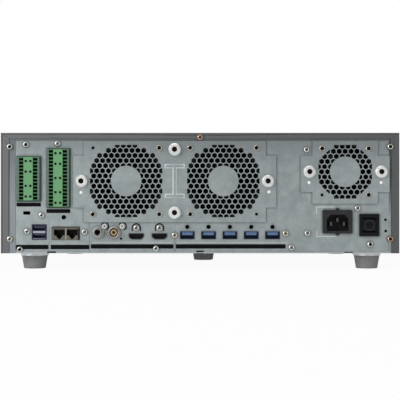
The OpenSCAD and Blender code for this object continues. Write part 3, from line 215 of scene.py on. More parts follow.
# inlet pins: bright steel painted darker, painted shade for pins deep in the inlet
pinLook = dict(brightLook, dark=srgb(72, 71, 70), light=srgb(94, 92, 90))
blackLook = {"dark": srgb(8, 9, 11), "light": srgb(12, 13, 15), "patch": 90.0, "grain": 2200.0,
             "rough": (0.5, 0.66), "bump": 0.2, "depth": 0.0002, "gloss": 0.14}
inletLook = {"dark": srgb(35, 34, 37), "light": srgb(41, 40, 43), "patch": 90.0, "grain": 1800.0,
             "rough": (0.5, 0.66), "bump": 0.25, "depth": 0.0002, "gloss": 0.2}
darkLook = {"dark": srgb(55, 56, 59), "light": srgb(63, 64, 67), "patch": 60.0, "grain": 1600.0,
            "rough": (0.45, 0.62), "bump": 0.3, "depth": 0.0003,
            "wearAndHighlight": srgb(92, 93, 96), "wearAndHighlightWidth": 0.0008, "wearAndHighlightAmount": 0.4}
labelLook = {"dark": srgb(7, 8, 10), "light": srgb(12, 13, 15), "patch": 120.0, "grain": 2000.0,
             "rough": (0.65, 0.8), "bump": 0.15, "depth": 0.0001, "gloss": 0.06}
fanLook = {"dark": srgb(9, 9, 10), "light": srgb(13, 13, 14), "patch": 90.0, "grain": 1500.0,
           "rough": (0.6, 0.8), "bump": 0.2, "depth": 0.0002, "gloss": 0.12}
footLook = {"dark": srgb(130, 130, 130), "light": srgb(142, 142, 142), "patch": 120.0, "grain": 1300.0,
            "rough": (0.72, 0.88), "bump": 0.35, "depth": 0.0004, "gloss": 0.25}
greenLook = {"dark": srgb(66, 108, 76), "light": srgb(76, 118, 84), "patch": 150.0, "grain": 1800.0,
             "rough": (0.45, 0.6), "bump": 0.15, "depth": 0.0002, "gloss": 0.2}
headerLook = dict(greenLook, dark=srgb(76, 98, 84), light=srgb(86, 108, 94))
blueLook = {"dark": srgb(70, 98, 136), "light": srgb(82, 110, 148), "patch": 200.0, "grain": 2400.0,
            "rough": (0.35, 0.5), "bump": 0.1, "depth": 0.0001}
boardLook = {"dark": srgb(22, 78, 48), "light": srgb(30, 92, 58), "patch": 180.0, "grain": 900.0,
             "rough": (0.3, 0.5), "bump": 0.2, "depth": 0.0002, "coat": 0.2}
driveLook = {"dark": srgb(140, 142, 144), "light": srgb(158, 160, 161), "patch": 70.0, "grain": 900.0,
             "rough": (0.35, 0.55), "bump": 0.3, "depth": 0.0003, "metal": 0.8}
sinkLook = {"dark": srgb(150, 152, 154), "light": srgb(170, 171, 172), "patch": 60.0, "grain": 700.0,
            "stretch": (1, 0.05, 1), "rough": (0.3, 0.48), "bump": 0.2, "depth": 0.0002, "metal": 0.9}
lensLook = {"dark": srgb(186, 204, 190), "light": srgb(206, 220, 208), "patch": 300.0, "grain": 2000.0,
            "rough": (0.12, 0.22), "bump": 0.05, "depth": 0.0001, "coat": 0.6}
lineLook = {"dark": srgb(194, 197, 198), "light": srgb(206, 208, 209), "patch": 300.0, "grain": 2500.0,
            "rough": (0.45, 0.6), "bump": 0.1, "depth": 0.0001}
whiteLook = {"dark": srgb(228, 230, 230), "light": srgb(240, 241, 241), "patch": 300.0, "grain": 2500.0,
             "rough": (0.4, 0.55), "bump": 0.1, "depth": 0.0001}
brassLook = {"dark": srgb(112, 98, 70), "light": srgb(136, 120, 88), "patch": 400.0, "grain": 2800.0,
             "rough": (0.25, 0.4), "bump": 0.08, "depth": 0.0001, "metal": 0.8}

# screws that are copper, gold or pale, or have painted shade in a deep recess, as X and height above the
# underside
screwTints = {"copper": srgb(176, 148, 130), "copperAt": [(0, 125.1), (206.3, 15.5)],
              "gold": srgb(198, 194, 178), "goldAt": [(-27.5, 19.5), (92.2, 21.3), (-205, 15.5)],
              "pale": srgb(186, 192, 176), "paleAt": [(206.3, 115)], "radius": 5.0,
              "hollow": srgb(58, 58, 59), "hollowR": 1.9,
              "hollowAt": [(-205.1, 115), (-187.9, 117.3), (183.5, 9.7), (-194.4, 4.3), (205.1, 15.5),
                           (205.1, 115)]}


def tintAndShadeScrews(tree, coords, color):
    for tint in ("copper", "gold", "pale"):
        for x, h in screwTints[tint + "At"]:
            spot = near(tree, coords, (x * mm, rearY, h * mm + baseZ), screwTints["radius"] * mm)
            color = mixed(tree, spot, color, screwTints[tint])
    # painted shade in the recess of the deeply hollowed screws
    for x, h in screwTints["hollowAt"]:
        place = (x * mm, h * mm + baseZ)
        color = spotOn(tree, coords, color, place, screwTints["hollowR"], screwTints["hollow"])
    return color


# terminal plug: a light strip in the middle, dull borders that also lighten the shaded side walls as painted
# light, and painted shade inside the wire entries and the holes of the strip, with a painted shade ring round
# each hole
plugLook = {"strip": srgb(96, 146, 102), "border": srgb(90, 111, 97), "entry": srgb(3, 8, 5),
            "stripHalf": 5.0, "entryFrom": 5.02, "entryTo": 10.0, "entryDeep": 0.15, "dotDeep": 0.15,
            "out": 4.0, "ring": srgb(14, 30, 19), "ringR": 1.4, "dotX": 2.5, "pitch": 3.81,
            "smallX": -184.8, "smallRows": 12, "smallDots": (0.5, 3.5, 7.5, 10.5),
            "largeX": -152.8, "largeRows": 16, "largeDots": (0.5, 3.5, 7.5, 11.5, 14.5)}


def plugFinish(name, size):
    middle = plugLook[size + "X"]
    low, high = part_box("terminal_plug_" + size)
    first = (low.z + high.z) / 2 + (plugLook[size + "Rows"] - 1) / 2 * plugLook["pitch"] * mm

    def paint(tree, coords, color):
        axes = put(tree, "SeparateXYZ", {0: coords})
        aside = maths(tree, "ABSOLUTE", maths(tree, "SUBTRACT", axes.outputs["X"], middle * mm))
        faceY = rearY - plugLook["out"] * mm
        strip = maths(tree, "LESS_THAN", aside, plugLook["stripHalf"] * mm)
        entry = within(tree, aside, plugLook["entryFrom"] * mm, plugLook["entryTo"] * mm)
        deep = maths(tree, "GREATER_THAN", axes.outputs["Y"], faceY + plugLook["entryDeep"] * mm)
        hole = maths(tree, "GREATER_THAN", axes.outputs["Y"], faceY + plugLook["dotDeep"] * mm)
        color = mixed(tree, strip, color, plugLook["strip"])
        # the border tone also covers the side walls, painted light on their shaded side
        border = maths(tree, "GREATER_THAN", aside, plugLook["entryTo"] * mm)
        color = mixed(tree, border, color, plugLook["border"])
        # painted shade: a dark ring round each hole in the strip
        for row in plugLook[size + "Dots"]:
            for x in (middle - plugLook["dotX"], middle + plugLook["dotX"]):
                place = (x * mm, first - row * plugLook["pitch"] * mm)
                color = spotOn(tree, coords, color, place, plugLook["ringR"], plugLook["ring"])
        # painted shade inside the wire entries and the holes
        color = mixed(tree, maths(tree, "MULTIPLY", entry, deep), color, plugLook["entry"])
        return mixed(tree, maths(tree, "MULTIPLY", strip, hole), color, plugLook["entry"])
    return surface(name, greenLook, paint)


# circuit boards: fine square tracks under the green mask, and pale pads
trackLook = {"track": srgb(44, 118, 78), "trackScale": 260.0, "trackStep": 0.12, "trackWide": 0.04,
             "pad": srgb(186, 176, 120), "padScale": 420.0, "padR": 0.16}


def paintTracks(tree, coords, color):
    cells = put(tree, "TexVoronoi", {"Vector": coords, "Scale": trackLook["trackScale"]},
                distance="MANHATTAN").outputs["Distance"]
    folded = maths(tree, "PINGPONG", cells, trackLook["trackStep"])
    lines = maths(tree, "LESS_THAN", folded, trackLook["trackWide"])
    dots = put(tree, "TexVoronoi", {"Vector": coords, "Scale": trackLook["padScale"]}).outputs["Distance"]
    pads = maths(tree, "LESS_THAN", dots, trackLook["padR"])
    color = mixed(tree, lines, color, trackLook["track"])
    return mixed(tree, pads, color, trackLook["pad"])


# plated sheet: painted shade that darkens it towards its top, a painted shadow of the cover's lip along the
# top, and a painted highlight on the sloping sides of the bead
sheetMarks = {"upper": srgb(113, 119, 122), "upperFrom": 92.0, "upperTo": 125.0, "upperShare": 0.75,
              "band": srgb(96, 101, 103), "bandFrom": 121.3, "slopeHighlight": srgb(204, 209, 211), "slopeOut": 0.1,
              "slopeFacing": (-0.93, -0.35), "beadX": -27.3, "beadEnd": 9.7}


def paintTopShade(tree, coords, color):
    axes = put(tree, "SeparateXYZ", {0: coords})
    height = maths(tree, "SUBTRACT", axes.outputs["Z"], baseZ)
    # painted shade, darker towards the top
    share = ranged(tree, height, (sheetMarks["upperFrom"] * mm, sheetMarks["upperTo"] * mm),
                   (0.0, sheetMarks["upperShare"]))
    # painted shadow of the cover's lip along the top
    band = maths(tree, "GREATER_THAN", height, sheetMarks["bandFrom"] * mm)
    return mixed(tree, band, mixed(tree, share, color, sheetMarks["upper"]), sheetMarks["band"])


def paintPlate(tree, coords, color):
    axes = put(tree, "SeparateXYZ", {0: coords})
    facing = put(tree, "SeparateXYZ", {0: put(tree, "NewGeometry").outputs["True Normal"]})
    # painted highlight on the sloping sides of the bead
    slopeHighlight = within(tree, facing.outputs["Y"], *sheetMarks["slopeFacing"])
    out = maths(tree, "LESS_THAN", axes.outputs["Y"], plateY - sheetMarks["slopeOut"] * mm)
    aside = maths(tree, "ABSOLUTE", maths(tree, "SUBTRACT", axes.outputs["X"], sheetMarks["beadX"] * mm))
    slopeHighlight = maths(tree, "MAXIMUM", slopeHighlight, maths(tree, "GREATER_THAN", aside, sheetMarks["beadEnd"] * mm))
    color = paintTopShade(tree, coords, color)
    return mixed(tree, maths(tree, "MULTIPLY", slopeHighlight, out), color, sheetMarks["slopeHighlight"])


# painted cover: painted shade that darkens it towards the right, a painted shade line in the fold along the
# top and left, mitred corners in the rear lip
coverMarks = {"right": srgb(68, 69, 70), "rightShare": 0.9, "fold": srgb(52, 53, 54), "foldFrom": 1.0,
              "foldTo": 2.0, "seam": srgb(58, 59, 60), "seamHalf": 0.32, "lipSide": 9.0, "lipTop": 6.2,
              "lipDeep": 2.0}


def paintCover(tree, coords, color):
    axes = put(tree, "SeparateXYZ", {0: coords})
    halfWide = cadBox[1][0]
    # painted shade, darker towards the right
    toRight = ranged(tree, axes.outputs["X"], (-halfWide, halfWide), (0.0, coverMarks["rightShare"]))
    color = mixed(tree, toRight, color, coverMarks["right"])
    aside = maths(tree, "SUBTRACT", halfWide, maths(tree, "ABSOLUTE", axes.outputs["X"]))
    down = maths(tree, "SUBTRACT", coverTop, axes.outputs["Z"])
    onLip = maths(tree, "LESS_THAN", axes.outputs["Y"], coverY + coverMarks["lipDeep"] * mm)
    fromLeft = maths(tree, "ADD", axes.outputs["X"], halfWide)
    # painted shade in the fold along the top and left
    inward = maths(tree, "MINIMUM", down, fromLeft)
    fold = within(tree, inward, coverMarks["foldFrom"] * mm, coverMarks["foldTo"] * mm)
    color = mixed(tree, maths(tree, "MULTIPLY", fold, onLip), color, coverMarks["fold"])
    slant = math.hypot(coverMarks["lipSide"], coverMarks["lipTop"])
    across = maths(tree, "SUBTRACT", maths(tree, "MULTIPLY", aside, coverMarks["lipTop"] / slant),
                   maths(tree, "MULTIPLY", down, coverMarks["lipSide"] / slant))
    seam = maths(tree, "LESS_THAN", maths(tree, "ABSOLUTE", across), coverMarks["seamHalf"] * mm)
    corner = maths(tree, "LESS_THAN", aside, coverMarks["lipSide"] * mm)
    seam = maths(tree, "MULTIPLY", maths(tree, "MULTIPLY", seam, corner), onLip)
    return mixed(tree, seam, color, coverMarks["seam"])


# chassis: pale pads over the feet, painted shade in the notches of the lower edge and on the side flanges
padLook = {"tone": srgb(202, 206, 208), "below": 0.2, "edge": srgb(170, 174, 176), "edgeBand": 0.9,
           "shade": srgb(70, 73, 76), "shadeX": 202.6, "shadeFrom": 40.0, "shadeTo": 75.0,
           "notch": srgb(40, 41, 42), "notchX": (155.6, 165.2), "notchDeep": (2.3, 2.9),
           "left": srgb(128, 134, 137), "leftTop": srgb(94, 98, 101), "leftFrom": 60.0, "leftTo": 125.0}


def paintPads(tree, coords, color):
    axes = put(tree, "SeparateXYZ", {0: coords})
    edge = within(tree, axes.outputs["Z"], baseZ - padLook["below"] * mm, baseZ + padLook["edgeBand"] * mm)
    color = mixed(tree, edge, color, padLook["edge"])
    height = maths(tree, "SUBTRACT", axes.outputs["Z"], baseZ)
    # painted shade on the upper part of the right flange
    rise = ranged(tree, height, (padLook["shadeFrom"] * mm, padLook["shadeTo"] * mm))
    right = maths(tree, "GREATER_THAN", axes.outputs["X"], padLook["shadeX"] * mm)
    color = mixed(tree, maths(tree, "MULTIPLY", rise, right), color, padLook["shade"])
    # painted shade on the left flange, darker towards the top
    upper = ranged(tree, height, (padLook["leftFrom"] * mm, padLook["leftTo"] * mm))
    left = maths(tree, "LESS_THAN", axes.outputs["X"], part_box("rear_panel")[0].x)
    color = mixed(tree, left, color, mixed(tree, upper, padLook["left"], padLook["leftTop"]))
    # painted shade inside the notches
    aside = within(tree, maths(tree, "ABSOLUTE", axes.outputs["X"]), *(x * mm for x in padLook["notchX"]))
    deep = within(tree, axes.outputs["Y"], *(rearY + y * mm for y in padLook["notchDeep"]))
    color = mixed(tree, maths(tree, "MULTIPLY", aside, deep), color, padLook["notch"])
    low = maths(tree, "LESS_THAN", axes.outputs["Z"], baseZ - padLook["below"] * mm)
    return mixed(tree, low, color, padLook["tone"])


# sockets: painted shade over the inside, so the metal shows only round the mouth
def paintInsideShade(inside, deep):
    def paint(tree, coords, color):
        axes = put(tree, "SeparateXYZ", {0: coords})
        behind = maths(tree, "GREATER_THAN", axes.outputs["Y"], rearY + deep * mm)
        return mixed(tree, behind, color, inside)
    return paint


# data sockets: pale metal and navy tongues in the stacked pair, dark metal and light blue tongues in the row
dataLook = {"pairTo": -160.0, "pairMetal": srgb(158, 162, 180), "pairTongue": srgb(30, 34, 62),
            "pairAt": (-173.6, 23.0), "pairHalf": (6.6, 1.25), "pairLow": (6.5, 7.3),
            "pairLowTone": srgb(122, 126, 152), "rowAt": 19.7, "rowTop": 3.2, "rowTone": srgb(96, 112, 136),
            "inside": srgb(24, 31, 50), "deep": -0.3}


def paintDataShells(tree, coords, color):
    axes = put(tree, "SeparateXYZ", {0: coords})
    aside = maths(tree, "ABSOLUTE", maths(tree, "SUBTRACT", axes.outputs["X"], dataLook["pairAt"][0] * mm))
    away = maths(tree, "SUBTRACT", axes.outputs["Z"], dataLook["pairAt"][1] * mm + baseZ)
    across = maths(tree, "LESS_THAN", aside, dataLook["pairHalf"][0] * mm)
    between = maths(tree, "LESS_THAN", maths(tree, "ABSOLUTE", away), dataLook["pairHalf"][1] * mm)
    color = mixed(tree, maths(tree, "MULTIPLY", across, between), color, dataLook["pairMetal"])
    low = within(tree, away, -dataLook["pairLow"][1] * mm, -dataLook["pairLow"][0] * mm)
    color = mixed(tree, maths(tree, "MULTIPLY", across, low), color, dataLook["pairLowTone"])
    row = maths(tree, "GREATER_THAN", axes.outputs["X"], dataLook["pairTo"] * mm)
    rimZ = (dataLook["rowAt"] + dataLook["rowTop"]) * mm + baseZ
    rim = maths(tree, "GREATER_THAN", axes.outputs["Z"], rimZ)
    color = mixed(tree, maths(tree, "MULTIPLY", row, rim), color, dataLook["rowTone"])
    # painted shade inside the openings
    return paintInsideShade(dataLook["inside"], dataLook["deep"])(tree, coords, color)


def paintDataTongues(tree, coords, color):
    axes = put(tree, "SeparateXYZ", {0: coords})
    pair = maths(tree, "LESS_THAN", axes.outputs["X"], dataLook["pairTo"] * mm)
    return mixed(tree, pair, color, dataLook["pairTongue"])


# network sockets: a dark frame with a pale bar between the openings
lanLook = {"at": (-144.9, 21.6), "bar": srgb(150, 146, 128), "barHalf": 0.7, "low": srgb(106, 104, 98),
           "lowFrom": 2.6, "right": srgb(40, 39, 37), "rightFrom": 12.9, "top": srgb(82, 80, 76),
           "topFrom": 5.3, "inside": srgb(10, 10, 11), "deep": -0.3}


def paintLan(tree, coords, color):
    axes = put(tree, "SeparateXYZ", {0: coords})
    fromLeft = maths(tree, "SUBTRACT", axes.outputs["X"], lanLook["at"][0] * mm)
    aside = maths(tree, "ABSOLUTE", fromLeft)
    down = maths(tree, "SUBTRACT", lanLook["at"][1] * mm + baseZ, axes.outputs["Z"])
    color = mixed(tree, maths(tree, "GREATER_THAN", down, lanLook["lowFrom"] * mm), color, lanLook["low"])
    color = mixed(tree, maths(tree, "LESS_THAN", aside, lanLook["barHalf"] * mm), color, lanLook["bar"])
    right = maths(tree, "GREATER_THAN", fromLeft, lanLook["rightFrom"] * mm)
    color = mixed(tree, right, color, lanLook["right"])
    color = mixed(tree, maths(tree, "LESS_THAN", down, -lanLook["topFrom"] * mm), color, lanLook["top"])
    # painted shade inside the openings
    return paintInsideShade(lanLook["inside"], lanLook["deep"])(tree, coords, color)


# lock nuts: painted shade in the mouth, in a thin light ring
nutLook = {"mouth": srgb(16, 17, 18), "mouthR": 2.4}


def paintNuts(tree, coords, color):
    for points in looseSolids("data_lock_nuts"):
        color = spotOn(tree, coords, color, middleOf(points), nutLook["mouthR"], nutLook["mouth"])
    return color


# captive screws: satin heads with painted shade in the recess
captiveNames = ["captive_screw_left", "captive_screw_right", "captive_screw_top", "captive_screw_bottom",
                "psu_captive_screw_left", "psu_captive_screw_right"]
captiveLook = {"recess": srgb(14, 14, 15), "recessR": 2.86}
captiveSteel = dict(brightLook, dark=srgb(214, 215, 214), light=srgb(236, 236, 234), rough=(0.26, 0.36))


def paintCaptives(tree, coords, color):
    for name in captiveNames:
        middle = middleOf(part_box(name))
        color = spotOn(tree, coords, color, middle, captiveLook["recessR"], captiveLook["recess"])
    return color


# fan screws: painted shade in a wide recess, in a bright rim
fanScrewLook = {"recess": srgb(26, 25, 22), "recessR": 2.2}
fanScrewSteel = dict(screwLook, dark=srgb(184, 180, 166), light=srgb(216, 212, 198))


def paintFanScrews(tree, coords, color):
    for points in looseSolids("fan_screws") + looseSolids("psu_fan_screws"):
        color = spotOn(tree, coords, color, middleOf(points), fanScrewLook["recessR"], fanScrewLook["recess"])
    return color


# cable posts: a dull spot in each end, painted shade for a dimple
postLook = {"dimple": srgb(104, 102, 98), "dimpleR": 1.1}


def paintPosts(tree, coords, color):
    for points in looseSolids("cable_posts"):
        color = spotOn(tree, coords, color, middleOf(points), postLook["dimpleR"], postLook["dimple"])
    return color


# rocker: a faint ring painted on its face, a painted highlight for a moulded ring
rockerLook = {"ring": srgb(66, 66, 69), "from": 5.0, "to": 5.5}


def paintRocker(tree, coords, color):
    gap = beside(tree, coords, *middleOf(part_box("power_rocker")))
    ring = within(tree, gap, rockerLook["from"] * mm, rockerLook["to"] * mm)
    return mixed(tree, ring, color, rockerLook["ring"])


# audio sockets: dull flanges, a black insert on the left and a gold core in a dark ring on the right
insertLook = {"gold": srgb(158, 141, 104), "from": -101.0, "goldAt": (-92.4, 22.8), "goldR": 3.3,
              "flange": srgb(156, 156, 154), "flangeRight": srgb(172, 160, 156), "flangeOut": 1.7}


def paintInserts(tree, coords, color):
    x, h = insertLook["goldAt"]
    return spotOn(tree, coords, color, (x * mm, h * mm + baseZ), insertLook["goldR"], insertLook["gold"])


def paintBarrels(tree, coords, color):
    axes = put(tree, "SeparateXYZ", {0: coords})
    right = maths(tree, "GREATER_THAN", axes.outputs["X"], insertLook["from"] * mm)
    flange = mixed(tree, right, insertLook["flange"], insertLook["flangeRight"])
    back = maths(tree, "GREATER_THAN", axes.outputs["Y"], rearY - insertLook["flangeOut"] * mm)
    return mixed(tree, back, color, flange)


barrelSteel = dict(brightLook, dark=srgb(150, 149, 147), light=srgb(176, 174, 171))
dataSteel = dict(brightLook, dark=srgb(34, 42, 56), light=srgb(46, 54, 70))
videoSteel = dict(brightLook, dark=srgb(80, 81, 84), light=srgb(96, 97, 100))
lanSteel = dict(brightLook, dark=srgb(92, 91, 87), light=srgb(112, 111, 106))
nutSteel = dict(zincLook, light=srgb(160, 166, 168))
videoInside = {"inside": srgb(10, 10, 11), "deep": -0.3}
finishes = {
    "zinc": surface("zincSheet", zincLook),
    "chassis": surface("zincChassis", zincLook, paintPads),
    "cover": surface("coverPaint", coverLook, paintCover),
    "bright": surface("brightSteel", brightLook),
    "screws": surface("screwSteel", screwLook, tintAndShadeScrews),
    "fanScrews": surface("fanScrewSteel", fanScrewSteel, paintFanScrews),
    "captive": surface("captiveSteel", captiveSteel, paintCaptives),
    "posts": surface("postSteel", brightLook, paintPosts),
    "panel": surface("zincPanel", panelLook, paintTopShade),
    "plate": surface("zincPlate", zincLook, paintPlate),
    "nuts": surface("lockNutSteel", nutSteel, paintNuts),
    "barrels": surface("barrelSteel", barrelSteel, paintBarrels),
    "dataShells": surface("dataShellSteel", dataSteel, paintDataShells),
    "videoShells": surface("videoShellSteel", videoSteel, paintInsideShade(**videoInside)),
    "label": surface("bareLabel", labelLook),
    "rocker": surface("rockerPlastic", blackLook, paintRocker),
    "black": surface("blackPlastic", blackLook),
    "dark": surface("darkPlastic", darkLook),
    "fan": surface("fanPlastic", fanLook),
    "foot": surface("footRubber", footLook),
    "header": surface("headerGreen", headerLook),
    "plugSmall": plugFinish("plugGreenSmall", "small"),
    "plugLarge": plugFinish("plugGreenLarge", "large"),
    "blue": surface("socketBlue", blueLook, paintDataTongues),
    "board": surface("circuitBoard", boardLook, paintTracks),
    "drive": surface("driveCasting", driveLook),
    "sink": surface("finAluminium", sinkLook),
    "lens": surface("clearLens", lensLook),
    "white": surface("whitePrint", whiteLook),
    "brass": surface("platedBrass", brassLook),
    "lan": surface("networkShell", lanSteel, paintLan),
    "inlet": surface("inletPlastic", inletLook),
    "pins": surface("inletPinSteel", pinLook),
    "line": surface("printedAndHighlightLine", lineLook),
    "insert": surface("audioInsert", blackLook, paintInserts),
}
print("finishes:", len(finishes))

nodeFinish = {
    "zinc": "drive_cage power_supply_case",
    "panel": "rear_panel",
    "plate": "fan_plate psu_fan_plate",
    "chassis": "chassis_base",
    "cover": "top_cover",
    "inlet": "ac_inlet",
    "pins": "ac_inlet_pins",
    "posts": "cable_posts",
    "bright": "board_standoffs foot_screws front_data_ports door_hinge_pins door_lock",
    "screws": "cover_screws panel_screws ground_screw video_lock_screws fan_screws psu_fan_screws",
    "captive": " ".join(captiveNames),
    "nuts": "data_lock_nuts",
    "barrels": "audio_barrels",
    "dataShells": "data_shells",
    "videoShells": "video_shells",
    "rocker": "power_rocker",
    "black": "switch_frame video_tongues alarm_reset_button buzzer_stop_button",
    "dark": "front_bezel front_door drive_trays",
    "fan": "fan_frame_left fan_frame_right psu_fan_frame fan_rotor_left fan_rotor_right psu_fan_rotor",
    "foot": "feet",
    "header": "terminal_headers",
    "plugSmall": "terminal_plug_small",
    "plugLarge": "terminal_plug_large",
    "blue": "data_tongues",
    "board": "main_board alarm_board drive_backplane power_supply_board front_board",
    "drive": "hard_drives",
    "sink": "heat_sink",
    "lens": "indicator_lenses",
    "lan": "lan_jack",
    "insert": "audio_inserts",
}
for finishName, members in nodeFinish.items():
    for name in members.split():
        nodes[name].data.materials.clear()
        nodes[name].data.materials.append(finishes[finishName])
bare = [name for name in nodes if not any(name in members.split() for members in nodeFinish.values())]
print("nodes without a finish:", bare)

# rounded edges on the solids, by width in millimetres, where faces meet at more than an angle in degrees
softEdges = {
    "top_cover": 0.5, "front_bezel": 0.8, "front_door": 0.8, "feet": 0.4, "ac_inlet": 0.5,
    "switch_frame": 0.5, "power_rocker": 0.5, "terminal_plug_small": 0.25, "terminal_plug_large": 0.25,
    "terminal_headers": 0.25, "audio_barrels": 0.4, "alarm_reset_button": 0.5, "buzzer_stop_button": 0.5,
    "door_lock": 0.4, "cable_posts": 0.4, "drive_trays": 0.4, "fan_plate": 0.25, "psu_fan_plate": 0.25,
    "heat_sink": 0.3, "hard_drives": 0.8, **{name: 0.7 for name in captiveNames},
}
softShape = {"merge": 1e-5, "segments": 2, "angle": 35}
for name, width in softEdges.items():
    merge = nodes[name].modifiers.new("merge", "WELD")
    merge.merge_threshold = softShape["merge"]
    soften = nodes[name].modifiers.new("soften", "BEVEL")
    soften.width = width * mm
    soften.segments = softShape["segments"]
    soften.limit_method = "ANGLE"
    soften.angle_limit = math.radians(softShape["angle"])
    soften.harden_normals = True
print("softened edges:", len(softEdges))


# mesh building blocks

def rearPoint(x, h, out=0.0):
    return Vector((x * mm, rearY - out * mm, baseZ + h * mm))


def addBlock(bm, low, high):
    verts = bmesh.ops.create_cube(bm, size=1.0)["verts"]
    bmesh.ops.scale(bm, vec=high - low, verts=verts)
    bmesh.ops.translate(bm, vec=(low + high) / 2, verts=verts)
    return verts


def addPlate(bm, low, high, corner=0.0, rim=0.0):
    verts = addBlock(bm, low, high)
    edges = {edge for vert in verts for edge in vert.link_edges}
    if corner:
        deep = high.y - low.y
        upright = [e for e in edges if abs(abs(e.verts[0].co.y - e.verts[1].co.y) - deep) < mergeGap]
        done = bmesh.ops.bevel(bm, geom=upright, offset=corner, segments=3, profile=0.5, affect="EDGES",
                               material=-1)
        verts = list({v for v in verts if v.is_valid} | {v for f in done["faces"] for v in f.verts})
    if rim:
        outer = min(v.co.y for v in verts)
        edges = {e for v in verts for e in v.link_edges}
        front = [e for e in edges if all(abs(v.co.y - outer) < mergeGap for v in e.verts)]
        bmesh.ops.bevel(bm, geom=front, offset=rim, segments=2, profile=0.5, affect="EDGES", material=-1)


def addTurned(bm, profile, center, steps):
    chain = [bm.verts.new(center + Vector((r * mm, y * mm, 0))) for r, y in profile]
    edges = [bm.edges.new(pair) for pair in zip(chain, chain[1:])]
    bmesh.ops.spin(bm, geom=chain + edges, cent=center, axis=(0, 1, 0), angle=2 * math.pi, steps=steps,
                   use_merge=True, use_duplicate=False)


def newPiece(name, bm, body, finish):
    bmesh.ops.remove_doubles(bm, verts=bm.verts, dist=mergeGap)
    bmesh.ops.recalc_face_normals(bm, faces=bm.faces)
    mesh = bpy.data.meshes.new(name)
    bm.to_mesh(mesh)
    bm.free()
    mesh.shade_smooth()
    mesh.set_sharp_from_angle(angle=math.radians(softShape["angle"]))
    mesh.materials.append(finishes[finish])
    piece = bpy.data.objects.new(name, mesh)
    bpy.context.scene.collection.objects.link(piece)
    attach(piece, body)
    return piece


# screws: a domed head with a cross recess on a plain shank, as large as the solid that it stands for
screwShape = {"sides": 48, "core": 0.34, "arm": 0.3, "fanCore": 0.62, "fanArm": 0.18, "sharp": 2,
              "deep": 0.85, "floor": 0.8, "turn": 0.65, "rimShare": 0.97,
              "dome": [(0.0, 1.0), (0.3, 1.0), (0.6, 0.95), (0.85, 0.84), (1.0, 0.66)]}


def addScrew(bm, points, turn, core, arm):
    x, z = middleOf(points)
    outY, tipY = min(p.y for p in points), max(p.y for p in points)
    reach = [(math.hypot(p.x - x, p.z - z), p.y) for p in points]
    headR = max(r for r, y in reach)
    seatY = max(y for r, y in reach if r > screwShape["rimShare"] * headR)
    shankR = max(r for r, y in reach if y > tipY - mergeGap)
    rise = seatY - outY

    def cross(angle):
        return headR * (core + arm * abs(math.cos(2 * angle + turn)) ** screwShape["sharp"])

    def settle(verts, y, radius):
        for vert in verts:
            angle = math.atan2(vert.co.z - z, vert.co.x - x)
            r = radius(angle)
            vert.co = (x + r * math.cos(angle), y, z + r * math.sin(angle))

    # rows from the seat of the head to the floor of the recess, with the radius at an angle
    rows = [(seatY, lambda angle: shankR)]
    for share, wide in screwShape["dome"]:
        rows.append((seatY - share * rise, lambda angle, wide=wide: wide * headR))
    rows.append((outY, cross))
    rows.append((outY + screwShape["deep"] * rise, lambda angle: screwShape["floor"] * cross(angle)))
    upright = Matrix.Translation((x, tipY, z)) @ Matrix.Rotation(math.radians(-90), 4, "X")
    first = bmesh.ops.create_circle(bm, cap_ends=True, segments=screwShape["sides"], radius=shankR,
                                    matrix=upright)
    edges = list({edge for vert in first["verts"] for edge in vert.link_edges})
    for y, radius in rows:
        grown = bmesh.ops.extrude_edge_only(bm, edges=edges)["geom"]
        edges = [part for part in grown if isinstance(part, bmesh.types.BMEdge) and part.is_boundary]
        settle([part for part in grown if isinstance(part, bmesh.types.BMVert)], y, radius)
    bmesh.ops.edgeloop_fill(bm, edges=edges)


screwBodies = {"cover_screws": "case", "panel_screws": "case", "ground_screw": "case",
               "video_lock_screws": "case", "fan_screws": "fan_unit", "psu_fan_screws": "psu_fan_unit"}
for name, body in screwBodies.items():
    bm = bmesh.new()
    core, arm, finish = ("core", "arm", "screws") if body == "case" else ("fanCore", "fanArm", "fanScrews")
    for i, points in enumerate(looseSolids(name)):
        addScrew(bm, points, i * screwShape["turn"], screwShape[core], screwShape[arm])
    piece = newPiece(name.replace("screw", "cross_screw"), bm, body, finish)
    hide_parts(name)
print("screws made")

# bare black label strips on the rear panel: X from and to, height from and to
labelStrips = {"places": [(-198.1, -171.9, 50.6, 54.5), (-165.8, -140.2, 43.6, 47.6),
                          (-198.7, -163.8, 4.5, 9.1), (-161.1, -119.7, 4.5, 9.1),
                          (-117.9, -28.8, 5.2, 9.7), (-26.2, 92.2, 5.2, 9.7)],
               "thick": 0.3, "corner": 0.3, "rim": 0.1}
bm = bmesh.new()
for x0, x1, h0, h1 in labelStrips["places"]:
    addPlate(bm, rearPoint(x0, h0, labelStrips["thick"]), rearPoint(x1, h1), labelStrips["corner"] * mm,
             labelStrips["rim"] * mm)
newPiece("label_strips", bm, "case", "label")

# thin pale lines: printed over the label strips, and round the mains inlet a painted highlight on the edges
# of a pressed recess: X from and to, height from and to
printAndHighlightLines = {"thick": 0.08,
              "places": [(-116, -30, 11.3, 11.7), (-25, 92, 11.3, 11.7), (125.2, 145, 49.6, 50.4),
                         (125.2, 126, 43, 49.6), (125.6, 147, 17.8, 18.5), (125.6, 126.3, 18.5, 25)]}
bm = bmesh.new()
for x0, x1, h0, h1 in printAndHighlightLines["places"]:
    addPlate(bm, rearPoint(x0, h0, printAndHighlightLines["thick"]), rearPoint(x1, h1))
newPiece("print_and_highlight_lines", bm, "case", "line")

